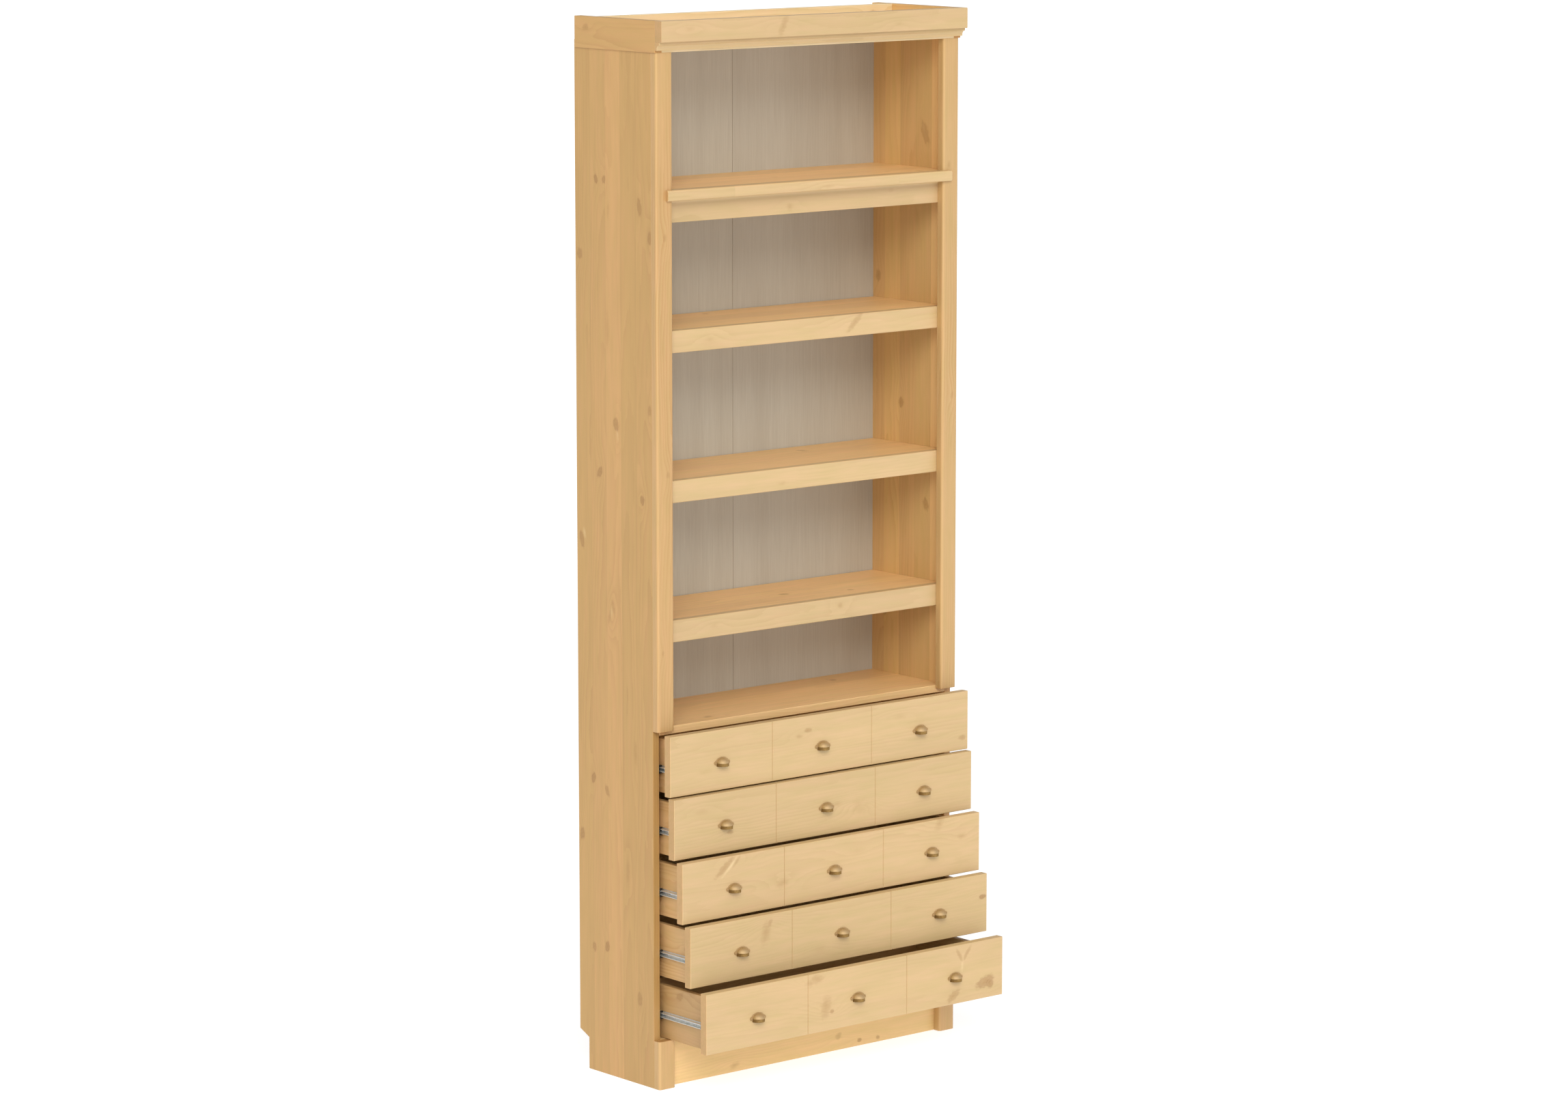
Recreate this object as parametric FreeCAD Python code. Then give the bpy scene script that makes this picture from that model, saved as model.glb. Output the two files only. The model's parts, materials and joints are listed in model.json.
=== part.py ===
"""Tall bookcase with a cornice, five open bays and five wide drawers on ball bearing runners.

Millimetres. +Z is up, +X is to the right seen from the front, and the front faces -Y.
The origin is the middle of the plinth board's bottom edge, on the floor.
Every depth below is measured backwards from the front plane, which is the plane of the side
panels' front edges. The drawers stand open by different amounts, and slide along Y.
"""

import FreeCAD, Part
import math
import os

# ---------------------------------------------------------------- driving dimensions
# Carcass
WIDTH = 800.0               # over the side panels
SIDE_DEPTH = 245.0          # side panels, front edge to rear edge
SIDE_T = 16.0               # side panel thickness
FIXED_T = 16.0              # top, middle, deck and bottom boards
PLINTH_H = 100.0            # floor to the top of the plinth and of the base posts
PLINTH_T = 16.0
BACK_SETIN = 8.0            # back boards' rear face to the side panels' rear edge
BACK_T = 4.0
BACK_GROOVE = 6.0           # depth of the side panels' grooves for the back boards
BACK_SLACK = 0.2            # between a back board and the walls of its groove
BACK_EDGE_SLACK = 0.5       # between a back board's edge and the bottom of its groove
BACK_SEAM = 0.6             # gap between the two back boards
BATTEN_W = 40.0             # strip that joins the back boards
BATTEN_T = 7.0
NOTCH_DEPTH = 30.0          # skirting notch at the foot of each side panel
NOTCH_H = 66.0              # its height at the inner end
NOTCH_RISE = 14.0           # how much its top slants up towards the wall

# Face frame
STILE_W = 42.0
STILE_T = 18.0
STILE_R = 6.0               # rounded front edges of the stiles and base posts

# Open bays, clear heights from the lowest one up
BAY_LOWEST = 170.0
BAY_LOWER = 238.0
BAY_MIDDLE = 257.0
BAY_UPPER = 216.0
BAY_TOP = 272.0
DECK_RISE = 6.0             # deck's top above the stiles' lower ends

# Loose shelves
SHELF_T = 18.0
LIPPING_H = 45.0
LIPPING_T = 18.0
LIPPING_R = 2.0
SHELF_FRONT_SETBACK = 0.5   # loose shelf behind the stiles' rear faces
SHELF_SIDE_SLACK = 0.5      # each end
SHELF_REAR_SLACK = 2.0
PIN_R = 2.5
PIN_IN = 9.0                # pin's length inside the side panel
PIN_OUT = 10.0              # pin's length under the shelf
PIN_INSET = 40.0            # pin's distance from the front plane and from the back boards

# Fixed middle shelf with its rail and moulding
MID_RAIL_H = 51.0
MID_RAIL_T = 16.0
MOULDING_H = 22.0           # moulding's nose
MOULDING_PROUD = 8.0        # in front of the stiles
MOULDING_LAP = 18.0         # over each stile
MOULDING_R = 5.0
COVE_R = 8.0                # cove under the nose

# Cornice
CORNICE_H = 63.0
CORNICE_PROUD = 3.0         # outside the side panels
CORNICE_SIDE_T = 18.0
CORNICE_REAR_GAP = 5.0      # cornice's rear end to the side panels' rear edge
FASCIA_H = 42.0
FASCIA_T = 22.0
FASCIA_R = 1.5
BED_STEP_H = 5.5            # upright step of the bed moulding under the fascia
BED_STEP_BACK = 8.0         # that step behind the fascia's face
BED_COVE_R = 8.0
BED_REVEAL = 4.5            # front rail that shows under the bed moulding
FRONT_RAIL_H = 50.0
TRAY_RAIL_T = 18.0          # rear rail of the cornice tray
TRAY_RAIL_SETIN = 47.0      # its rear face to the side boards' rear ends

# Drawers
DRAWER_COUNT = 5
FRONT_H = 124.0
FRONT_T = 18.0
FRONT_GAP = 3.0             # between neighbouring drawer fronts, and to the plinth and stiles
FRONT_R = 1.5
CLOSED_GAP = 1.0            # front's rear face to the carcass when a drawer is shut
DRAWER_OPEN = (150.0, 100.0, 75.0, 49.0, 37.0)      # from the lowest drawer up
PANELS_PER_FRONT = 3
V_GROOVE_W = 3.2
V_GROOVE_DEPTH = 1.8
BOX_T = 12.0                # drawer sides and back
BOX_LENGTH = 222.0
BOX_TOP_DROP = 16.0         # drawer side's top under the front's top
BOX_FOOT_GAP = 1.0          # lowest drawer's sides above the bottom board
BOTTOM_T = 4.0
BOTTOM_RISE = 8.0           # bottom board above the drawer sides' feet
BOTTOM_GROOVE = 5.0
BOTTOM_SLACK = 0.2

# Runners
RUNNER_GAP = 13.0           # side panel to drawer side
RUNNER_H = 17.0
RUNNER_LENGTH = 208.0
RUNNER_SETBACK = 6.0        # cabinet channel's front end behind the front plane
RUNNER_HEIGHT = 47.5        # runner's centre line above the drawer front's foot
RUNNER_TRAVEL = 150.0
SHEET_T = 1.2
CHANNEL_LIP = 8.8           # depth of the cabinet channel
SLIDER_H = 13.0             # drawer channel's web
SLIDER_NECK = 9.6           # over the drawer channel's flanges
SLIDER_TIP_GAP = 2.8        # drawer channel's flange tips to the side panel
STOP_LENGTH = 5.0           # plastic end stop on the cabinet channel
STOP_T = 3.0
CAGE_LENGTH = 56.0
CAGE_SETBACK = 1.0          # cage behind the channel's front end when the drawer is fully out
CAGE_T = 0.6
CAGE_WEB_GAP = 1.8          # cage's web to the side panel
CAGE_DEPTH = 6.0
CAGE_H = 12.4
BALL_PLAY = 0.3             # between a ball and each channel
BALLS_PER_ROW = 5
RUNNER_SCREWS = (18.0, 104.0, 190.0)                # along the runner from its front end
SLIDER_SCREWS = (14.0, 48.0, 82.0, 116.0, 150.0, 194.0)
SCREW_R = 1.5
SCREW_HEAD_R = 2.6
SCREW_HEAD_T = 1.1
SCREW_IN_PANEL = 11.0
SCREW_IN_SIDE = 8.0
SCREW_HOLE_SLACK = 0.05

# Cup pulls
PULL_HALF_W = 14.0          # cup without its ears
PULL_PROJECTION = 15.0
PULL_SKIRT = 5.0            # straight part under the domed part
PULL_WALL = 1.6
EAR_R = 3.8
EAR_T = 1.6
EAR_CENTRE = 16.6           # ear's screw from the middle of the cup
EAR_DROP = 1.5              # ear's screw under the middle of the cup
PULL_DROP = 4.0             # middle of the cup under the middle of the front
PULL_SCREW_R = 1.25
PULL_SCREW_HEAD_R = 2.2
PULL_SCREW_HEAD_T = 1.2
PULL_SCREW_IN = 10.0

# Dowels
DOWEL_R = 4.0
DOWEL_IN_SIDE = 10.0
DOWEL_IN_BOARD = 20.0
DOWEL_END_SLACK = 1.0
DOWEL_SLACK = 0.05
DOWEL_INSET = 36.0          # outer dowels from the ends of their row
BOX_DOWEL_R = 3.0
BOX_DOWEL_IN_FRONT = 9.0
BOX_DOWEL_IN_SIDE = 14.0
BOX_DOWEL_INSET = 26.0

TINY = 1e-4

# ---------------------------------------------------------------- places worked out from them
HALF = WIDTH / 2
INNER = HALF - SIDE_T                       # half the clear width between the side panels
FRONT = -PLINTH_T / 2                       # front plane
REAR = FRONT + SIDE_DEPTH
BACK_FACE = REAR - BACK_SETIN - BACK_T      # back boards' front face
STILE_FACE = FRONT - STILE_T
OPENING = HALF - STILE_W                    # half the clear width between the stiles

DRAWER_PITCH = FRONT_H + FRONT_GAP
STILE_FOOT = PLINTH_H + DRAWER_COUNT * DRAWER_PITCH + FRONT_GAP
DECK_TOP = STILE_FOOT + DECK_RISE
SHELF_FEET = (
    DECK_TOP + BAY_LOWEST,
    DECK_TOP + BAY_LOWEST + LIPPING_H + BAY_LOWER,
    DECK_TOP + BAY_LOWEST + LIPPING_H + BAY_LOWER + LIPPING_H + BAY_MIDDLE,
)
MID_RAIL_FOOT = SHELF_FEET[2] + LIPPING_H + BAY_UPPER
MID_UNDERSIDE = MID_RAIL_FOOT + MID_RAIL_H
MID_TOP = MID_UNDERSIDE + FIXED_T
CORNICE_FOOT = MID_TOP + BAY_TOP
SIDE_TOP = CORNICE_FOOT + FIXED_T
CORNICE_TOP = CORNICE_FOOT + CORNICE_H

BOX_HALF = INNER - RUNNER_GAP               # half the width over the drawer sides
BOX_FOOT_DROP = FRONT_GAP - BOX_FOOT_GAP     # drawer side's foot under the front's foot
BOX_H = FRONT_H - BOX_TOP_DROP + BOX_FOOT_DROP


# ---------------------------------------------------------------- small helpers
def block(x0, x1, y0, y1, z0, z1):
    """A box between two corners."""
    corner = FreeCAD.Vector(x0, y0, z0)
    return Part.makeBox(x1 - x0, y1 - y0, z1 - z0, corner)


def rod(radius, start, direction, length):
    """A round bar from a start point along a direction."""
    return Part.makeCylinder(radius, length, FreeCAD.Vector(*start), FreeCAD.Vector(*direction))


def moved(shape, x=0.0, y=0.0, z=0.0):
    copy = shape.copy()
    copy.translate(FreeCAD.Vector(x, y, z))
    return copy


def mirrored(shape):
    """The same shape on the other side of the plane X = 0."""
    return shape.mirror(FreeCAD.Vector(0, 0, 0), FreeCAD.Vector(1, 0, 0))


def edges_at(shape, axis, **places):
    """Straight edges along one axis whose centres lie at the given places."""
    found = []
    for edge in shape.Edges:
        box = edge.BoundBox
        spans = {"x": box.XLength, "y": box.YLength, "z": box.ZLength}
        centre = {"x": box.Center.x, "y": box.Center.y, "z": box.Center.z}
        across = max(spans[name] for name in "xyz" if name != axis)
        if spans[axis] > TINY > across and all(abs(centre[k] - v) < TINY for k, v in places.items()):
            found.append(edge)
    return found


def cut_all(shape, tools):
    """The shape less every tool, or the shape itself where there is none."""
    return shape.cut(Part.makeCompound(tools)) if tools else shape


def profile_solid(points_and_arcs, start, direction):
    """A solid from a closed row of points; an arc is given by its middle and end points."""
    edges = []
    here = FreeCAD.Vector(*start)
    for step in points_and_arcs:
        if len(step) == 2:
            middle = FreeCAD.Vector(*step[0])
            end = FreeCAD.Vector(*step[1])
            edges.append(Part.Arc(here, middle, end).toShape())
        else:
            end = FreeCAD.Vector(*step)
            edges.append(Part.LineSegment(here, end).toShape())
        here = end
    face = Part.Face(Part.Wire(edges))
    return face.extrude(FreeCAD.Vector(*direction))


# ---------------------------------------------------------------- holes and dowels of the carcass
def spread(first, last, count):
    """Evenly spaced places from the first to the last."""
    return [first + (last - first) * k / (count - 1) for k in range(count)]


DOWEL_ROW = spread(FRONT + DOWEL_INSET, BACK_FACE - DOWEL_INSET, 3)
FIXED_MIDDLES = {
    "top_panel": SIDE_TOP - FIXED_T / 2,
    "mid_shelf": MID_TOP - FIXED_T / 2,
    "deck_panel": DECK_TOP - FIXED_T / 2,
    "bottom_panel": PLINTH_H - FIXED_T / 2,
}
PLINTH_DOWELS = (PLINTH_H / 4, PLINTH_H / 2)
RAIL_DOWEL = MID_RAIL_FOOT + MID_RAIL_H / 2


def dowel_places():
    """(board's name, y, z) of every dowel between a side panel and a fixed board."""
    places = [(name, y, z) for name, z in FIXED_MIDDLES.items() for y in DOWEL_ROW]
    places += [("plinth_board", FRONT + PLINTH_T / 2, z) for z in PLINTH_DOWELS]
    places.append(("mid_rail", FRONT + MID_RAIL_T / 2, RAIL_DOWEL))
    return places


def dowel(y, z, slack=0.0, end_slack=0.0):
    """Dowel in the right side panel, or its hole when it is given slack."""
    start = INNER - DOWEL_IN_BOARD - end_slack
    length = DOWEL_IN_BOARD + DOWEL_IN_SIDE + 2 * end_slack
    return rod(DOWEL_R + slack, (start, y, z), (1, 0, 0), length)


def dowel_holes(board):
    """Both ends' dowel holes of one board."""
    right = [dowel(y, z, DOWEL_SLACK, DOWEL_END_SLACK) for name, y, z in dowel_places() if name == board]
    return right + [mirrored(hole) for hole in right]


def carcass_dowels():
    right = [dowel(y, z) for name, y, z in dowel_places()]
    return Part.makeCompound(right + [mirrored(peg) for peg in right])


def pin_places():
    """(y, z) of the shelf pins in the right side panel: two under each loose shelf."""
    rows = (FRONT + PIN_INSET, BACK_FACE - PIN_INSET)
    return [(y, foot + LIPPING_H - SHELF_T - PIN_R) for foot in SHELF_FEET for y in rows]


def runner_heights():
    """Centre line of each drawer's runners, from the lowest drawer up."""
    return [drawer_foot(k) + RUNNER_HEIGHT for k in range(DRAWER_COUNT)]


def drawer_foot(index):
    return PLINTH_H + FRONT_GAP + index * DRAWER_PITCH


def screw_places():
    """(y, z) of the cabinet channels' screws in the right side panel."""
    front_end = FRONT + RUNNER_SETBACK
    return [(front_end + along, z) for z in runner_heights() for along in RUNNER_SCREWS]


# ---------------------------------------------------------------- carcass
def side_panel():
    """Right side panel with its skirting notch, back groove and holes."""
    foot = (INNER, FRONT, 0)
    outline = [
        (INNER, REAR - NOTCH_DEPTH, 0),
        (INNER, REAR - NOTCH_DEPTH, NOTCH_H),
        (INNER, REAR, NOTCH_H + NOTCH_RISE),
        (INNER, REAR, SIDE_TOP),
        (INNER, FRONT, SIDE_TOP),
        foot,
    ]
    panel = profile_solid(outline, foot, (SIDE_T, 0, 0))
    groove_foot = PLINTH_H - FIXED_T
    groove = block(INNER, INNER + BACK_GROOVE, BACK_FACE - BACK_SLACK, BACK_FACE + BACK_T + BACK_SLACK,
                   groove_foot, SIDE_TOP)
    holes = [dowel(y, z, DOWEL_SLACK, DOWEL_END_SLACK) for name, y, z in dowel_places()]
    holes += [rod(PIN_R + DOWEL_SLACK, (INNER, y, z), (1, 0, 0), PIN_IN + DOWEL_END_SLACK)
              for y, z in pin_places()]
    holes += [rod(SCREW_R + SCREW_HOLE_SLACK, (INNER, y, z), (1, 0, 0), SCREW_IN_PANEL + DOWEL_END_SLACK)
              for y, z in screw_places()]
    return cut_all(panel, [groove] + holes)


def fixed_board(name):
    """A board between the side panels, from the front plane to the back boards."""
    middle = FIXED_MIDDLES[name]
    front = FRONT + PLINTH_T if name == "bottom_panel" else FRONT
    board = block(-INNER, INNER, front, BACK_FACE, middle - FIXED_T / 2, middle + FIXED_T / 2)
    return cut_all(board, dowel_holes(name))


def plinth_board():
    board = block(-INNER, INNER, FRONT, FRONT + PLINTH_T, 0, PLINTH_H)
    return cut_all(board, dowel_holes("plinth_board"))


def upright(foot, top):
    """Right-hand stile or base post: both front edges are rounded."""
    post = block(OPENING, HALF, STILE_FACE, FRONT, foot, top)
    return post.makeFillet(STILE_R, edges_at(post, "z", y=STILE_FACE))


def back_board():
    """Right half of the back, with one edge in the side panel's groove."""
    edge = INNER + BACK_GROOVE - BACK_EDGE_SLACK
    return block(BACK_SEAM / 2, edge, BACK_FACE, BACK_FACE + BACK_T, PLINTH_H - FIXED_T, SIDE_TOP)


def back_batten():
    """Strip behind the seam of the two back boards."""
    face = BACK_FACE + BACK_T
    return block(-BATTEN_W / 2, BATTEN_W / 2, face, face + BATTEN_T, PLINTH_H - FIXED_T, SIDE_TOP)


def mid_rail():
    rail = block(-INNER, INNER, FRONT, FRONT + MID_RAIL_T, MID_RAIL_FOOT, MID_UNDERSIDE)
    return cut_all(rail, dowel_holes("mid_rail"))


def mid_moulding():
    """Nose across both stiles, with a body and a cove between them."""
    face = STILE_FACE - MOULDING_PROUD
    foot = MID_TOP - MOULDING_H
    lap = OPENING + MOULDING_LAP
    nose = block(-lap, lap, face, STILE_FACE, foot, MID_TOP)
    nose = nose.makeFillet(MOULDING_R, edges_at(nose, "x", y=face))
    body = block(-OPENING, OPENING, STILE_FACE, FRONT, foot, MID_TOP)
    diagonal = COVE_R * (1 - math.sqrt(0.5))
    corner = (-OPENING, FRONT, foot)
    cove_arc = (
        (-OPENING, FRONT - diagonal, foot - diagonal),
        (-OPENING, FRONT - COVE_R, foot),
    )
    cove = profile_solid([(-OPENING, FRONT, foot - COVE_R), cove_arc, corner], corner,
                         (2 * OPENING, 0, 0))
    return nose.fuse([body, cove]).removeSplitter()


def loose_shelf(foot):
    """Shelf board and the deep lipping glued to its front."""
    half = INNER - SHELF_SIDE_SLACK
    front = FRONT + SHELF_FRONT_SETBACK
    top = foot + LIPPING_H
    lipping = block(-half, half, front, front + LIPPING_T, foot, top)
    lipping = lipping.makeFillet(LIPPING_R, edges_at(lipping, "x", y=front))
    board = block(-half, half, front + LIPPING_T, BACK_FACE - SHELF_REAR_SLACK, top - SHELF_T, top)
    return Part.makeCompound([lipping, board])


def shelf_pins():
    right = [rod(PIN_R, (INNER - PIN_OUT, y, z), (1, 0, 0), PIN_OUT + PIN_IN) for y, z in pin_places()]
    return Part.makeCompound(right + [mirrored(pin) for pin in right])


# ---------------------------------------------------------------- cornice
CORNICE_HALF = HALF + CORNICE_PROUD
CORNICE_INNER = CORNICE_HALF - CORNICE_SIDE_T
FASCIA_FACE = STILE_FACE - FASCIA_T
FASCIA_FOOT = CORNICE_TOP - FASCIA_H
CORNICE_REAR = REAR - CORNICE_REAR_GAP


def cornice_fascia():
    board = block(-CORNICE_HALF, CORNICE_HALF, FASCIA_FACE, STILE_FACE, FASCIA_FOOT, CORNICE_TOP)
    return board.makeFillet(FASCIA_R, edges_at(board, "x", y=FASCIA_FACE))


def cornice_bed_moulding():
    """Stepped and coved moulding under the fascia."""
    x = -CORNICE_HALF
    step_face = FASCIA_FACE + BED_STEP_BACK
    step_foot = FASCIA_FOOT - BED_STEP_H
    foot = CORNICE_FOOT + BED_REVEAL
    cove_face = step_face + BED_COVE_R
    diagonal = BED_COVE_R * math.sqrt(0.5)
    cove_foot = step_foot - BED_COVE_R
    start = (x, STILE_FACE, FASCIA_FOOT)
    outline = [
        (x, step_face, FASCIA_FOOT),
        (x, step_face, step_foot),
        ((x, step_face + diagonal, cove_foot + diagonal), (x, cove_face, cove_foot)),
        (x, cove_face, foot),
        (x, STILE_FACE, foot),
        start,
    ]
    return profile_solid(outline, start, (2 * CORNICE_HALF, 0, 0))


def cornice_side():
    """Right side board, rebated over the side panel's top end."""
    board = block(CORNICE_INNER, CORNICE_HALF, STILE_FACE, CORNICE_REAR, CORNICE_FOOT, CORNICE_TOP)
    rebate = block(CORNICE_INNER, HALF, FRONT, CORNICE_REAR, CORNICE_FOOT, SIDE_TOP)
    return board.cut(rebate)


def cornice_front_rail():
    """Hidden rail that stands on the stiles and carries the fascia and its moulding."""
    top = CORNICE_FOOT + FRONT_RAIL_H
    return block(-CORNICE_INNER, CORNICE_INNER, STILE_FACE, FRONT, CORNICE_FOOT, top)


def cornice_back_rail():
    rear = CORNICE_REAR - TRAY_RAIL_SETIN
    return block(-CORNICE_INNER, CORNICE_INNER, rear - TRAY_RAIL_T, rear, SIDE_TOP, CORNICE_TOP)


# ---------------------------------------------------------------- runners
def cabinet_channel():
    """Right cabinet channel at height zero, open towards the drawer."""
    front = FRONT + RUNNER_SETBACK
    rear = front + RUNNER_LENGTH
    half = RUNNER_H / 2
    outer = block(INNER - CHANNEL_LIP, INNER, front, rear, -half, half)
    hollow = block(INNER - CHANNEL_LIP, INNER - SHEET_T, front, rear, -half + SHEET_T, half - SHEET_T)
    holes = [rod(SCREW_HEAD_R + SCREW_HOLE_SLACK, (INNER - SHEET_T, front + along, 0), (1, 0, 0), SHEET_T)
             for along in RUNNER_SCREWS]
    return cut_all(outer, [hollow] + holes)


def end_stop():
    """Plastic stop around the mouth of the right cabinet channel, at height zero."""
    front = FRONT + RUNNER_SETBACK - STOP_LENGTH
    rear = FRONT + RUNNER_SETBACK
    half = RUNNER_H / 2
    outer = block(INNER - CHANNEL_LIP, INNER, front, rear, -half, half)
    hollow = block(INNER - CHANNEL_LIP, INNER - SHEET_T, front, rear, -half + STOP_T, half - STOP_T)
    return outer.cut(hollow)


def panel_screw(y, z):
    """Screw whose head fills the hole of the right cabinet channel."""
    head = rod(SCREW_HEAD_R, (INNER - SCREW_HEAD_T, y, z), (1, 0, 0), SCREW_HEAD_T)
    shank = rod(SCREW_R, (INNER, y, z), (1, 0, 0), SCREW_IN_PANEL)
    return head.fuse(shank)


def on_both_sides(shapes):
    return Part.makeCompound(list(shapes) + [mirrored(shape) for shape in shapes])


def cabinet_runners():
    return on_both_sides([moved(cabinet_channel(), z=height) for height in runner_heights()])


def runner_end_stops():
    return on_both_sides([moved(end_stop(), z=height) for height in runner_heights()])


def runner_screws():
    return on_both_sides([panel_screw(y, z) for y, z in screw_places()])


def drawer_channel():
    """Right drawer channel at height zero, as it lies in a shut drawer."""
    front = FRONT + RUNNER_SETBACK
    rear = front + RUNNER_LENGTH
    web_face = BOX_HALF + SHEET_T
    neck = SLIDER_NECK / 2
    web = block(BOX_HALF, web_face, front, rear, -SLIDER_H / 2, SLIDER_H / 2)
    neck_block = block(web_face, INNER - SLIDER_TIP_GAP, front, rear, -neck, neck)
    hollow = block(web_face, INNER - SLIDER_TIP_GAP, front, rear, -neck + SHEET_T, neck - SHEET_T)
    holes = [rod(SCREW_R + SCREW_HOLE_SLACK, (BOX_HALF, front + along, 0), (1, 0, 0), SHEET_T)
             for along in SLIDER_SCREWS]
    return cut_all(web.fuse(neck_block), [hollow] + holes).removeSplitter()


def side_screw(along):
    """Screw that holds the right drawer channel, its head inside the channel."""
    y = FRONT + RUNNER_SETBACK + along
    web_face = BOX_HALF + SHEET_T
    head = rod(SCREW_HEAD_R, (web_face, y, 0), (1, 0, 0), SCREW_HEAD_T)
    shank = rod(SCREW_R, (BOX_HALF - SCREW_IN_SIDE, y, 0), (1, 0, 0), SCREW_IN_SIDE + SHEET_T)
    return head.fuse(shank)


def ball_cage():
    """Right ball cage at height zero, as it lies when the drawer is fully out."""
    front = FRONT + RUNNER_SETBACK + CAGE_SETBACK
    rear = front + CAGE_LENGTH
    outer_face = INNER - CAGE_WEB_GAP
    inner_face = outer_face - CAGE_DEPTH
    half = CAGE_H / 2
    cage = block(inner_face, outer_face, front, rear, -half, half)
    hollow = block(inner_face, outer_face - CAGE_T, front, rear, -half + CAGE_T, half - CAGE_T)
    lane_low = SLIDER_NECK / 2
    lane_high = RUNNER_H / 2 - SHEET_T
    race = (lane_low + lane_high) / 2
    ball_r = (lane_high - lane_low) / 2 - BALL_PLAY
    margin = 2 * ball_r
    balls = [Part.makeSphere(ball_r, FreeCAD.Vector((inner_face + outer_face) / 2, y, side * race))
             for y in spread(front + margin, rear - margin, BALLS_PER_ROW) for side in (-1, 1)]
    return cage.cut(hollow).fuse(balls)


# ---------------------------------------------------------------- cup pulls
def half_dome(half_width, reach):
    """Quarter turn of a half ellipse about the X axis, between straight up and straight forward."""
    tip = FreeCAD.Vector(half_width, 0, 0)
    tail = FreeCAD.Vector(-half_width, 0, 0)
    wide = half_width >= reach
    along = FreeCAD.Vector(1, 0, 0) if wide else FreeCAD.Vector(0, 0, 1)
    across = FreeCAD.Vector(0, 0, 1) if wide else FreeCAD.Vector(1, 0, 0)
    major = max(half_width, reach)
    minor = min(half_width, reach)
    ellipse = Part.Ellipse(along * major, across * minor, FreeCAD.Vector(0, 0, 0))
    arc = Part.Arc(ellipse, ellipse.parameter(tip), ellipse.parameter(tail)).toShape()
    if arc.CenterOfMass.z < 0:
        arc = Part.Arc(ellipse, ellipse.parameter(tail), ellipse.parameter(tip)).toShape()
    ends = [vertex.Point for vertex in arc.Vertexes]
    face = Part.Face(Part.Wire([arc, Part.LineSegment(ends[1], ends[0]).toShape()]))
    return face.revolve(FreeCAD.Vector(0, 0, 0), FreeCAD.Vector(1, 0, 0), 90)


def cup(half_width, reach, skirt):
    """Domed cup above the X axis with a straight skirt under it, against the plane Y = 0."""
    dome = half_dome(half_width, reach)
    floor = max(dome.Faces, key=lambda face: -abs(face.CenterOfMass.z) - abs(face.normalAt(0, 0).y))
    return dome.fuse(floor.extrude(FreeCAD.Vector(0, 0, -skirt))).removeSplitter()


def cup_pull():
    """Open-bottomed cup with two ears, its rear on Y = 0 and its middle at the origin."""
    middle = (PULL_PROJECTION - PULL_SKIRT) / 2
    inside = cup(PULL_HALF_W - PULL_WALL, PULL_PROJECTION - PULL_WALL, PULL_SKIRT + TINY)
    shell = cup(PULL_HALF_W, PULL_PROJECTION, PULL_SKIRT)
    ears = [rod(EAR_R, (side * EAR_CENTRE, 0, middle - EAR_DROP), (0, -1, 0), EAR_T) for side in (-1, 1)]
    holes = [rod(PULL_SCREW_R + SCREW_HOLE_SLACK, (side * EAR_CENTRE, 0, middle - EAR_DROP),
                 (0, -1, 0), EAR_T) for side in (-1, 1)]
    return moved(shell.fuse(ears).cut(inside).cut(Part.makeCompound(holes)), z=-middle)


def pull_screw(side):
    """Round-headed screw through one ear of a pull whose middle is at the origin."""
    x = side * EAR_CENTRE
    ball_r = (PULL_SCREW_HEAD_R ** 2 + PULL_SCREW_HEAD_T ** 2) / (2 * PULL_SCREW_HEAD_T)
    centre = FreeCAD.Vector(x, -EAR_T + ball_r - PULL_SCREW_HEAD_T, -EAR_DROP)
    cap = block(x - PULL_SCREW_HEAD_R, x + PULL_SCREW_HEAD_R, -EAR_T - PULL_SCREW_HEAD_T, -EAR_T,
                -EAR_DROP - PULL_SCREW_HEAD_R, -EAR_DROP + PULL_SCREW_HEAD_R)
    head = Part.makeSphere(ball_r, centre).common(cap)
    shank = rod(PULL_SCREW_R, (x, -EAR_T, -EAR_DROP), (0, 1, 0), EAR_T + PULL_SCREW_IN)
    return head.fuse(shank)


def pull_places(index):
    """(x, z) of the middles of one drawer's pulls: one in each panel of its front."""
    panel = WIDTH / PANELS_PER_FRONT
    z = drawer_foot(index) + FRONT_H / 2 - PULL_DROP
    return [(-HALF + panel * (k + 0.5), z) for k in range(PANELS_PER_FRONT)]


# ---------------------------------------------------------------- drawers
# Each piece is made where it lies in the shut drawer, and drawn out when it is stored.
FRONT_REAR = FRONT - CLOSED_GAP
FRONT_FACE = FRONT_REAR - FRONT_T


def box_dowel_places(index):
    """(x, z) of the dowels between the right drawer side and the front."""
    foot = drawer_foot(index) - BOX_FOOT_DROP
    x = BOX_HALF - BOX_T / 2
    return [(x, z) for z in spread(foot + BOX_DOWEL_INSET, foot + BOX_H - BOX_DOWEL_INSET, 2)]


def box_dowel(x, z, slack=0.0, end_slack=0.0):
    start = FRONT_REAR - BOX_DOWEL_IN_FRONT - end_slack
    length = BOX_DOWEL_IN_FRONT + BOX_DOWEL_IN_SIDE + 2 * end_slack
    return rod(BOX_DOWEL_R + slack, (x, start, z), (0, 1, 0), length)


def bottom_level(index):
    """Underside of a drawer's bottom board."""
    return drawer_foot(index) - BOX_FOOT_DROP + BOTTOM_RISE


def bottom_slot(index):
    """Groove that runs round the front and the sides for the bottom board."""
    half = BOX_HALF - BOX_T + BOTTOM_GROOVE
    level = bottom_level(index)
    return block(-half, half, FRONT_REAR - BOTTOM_GROOVE, FRONT_REAR + BOX_LENGTH,
                 level - BOTTOM_SLACK, level + BOTTOM_T + BOTTOM_SLACK)


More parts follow.
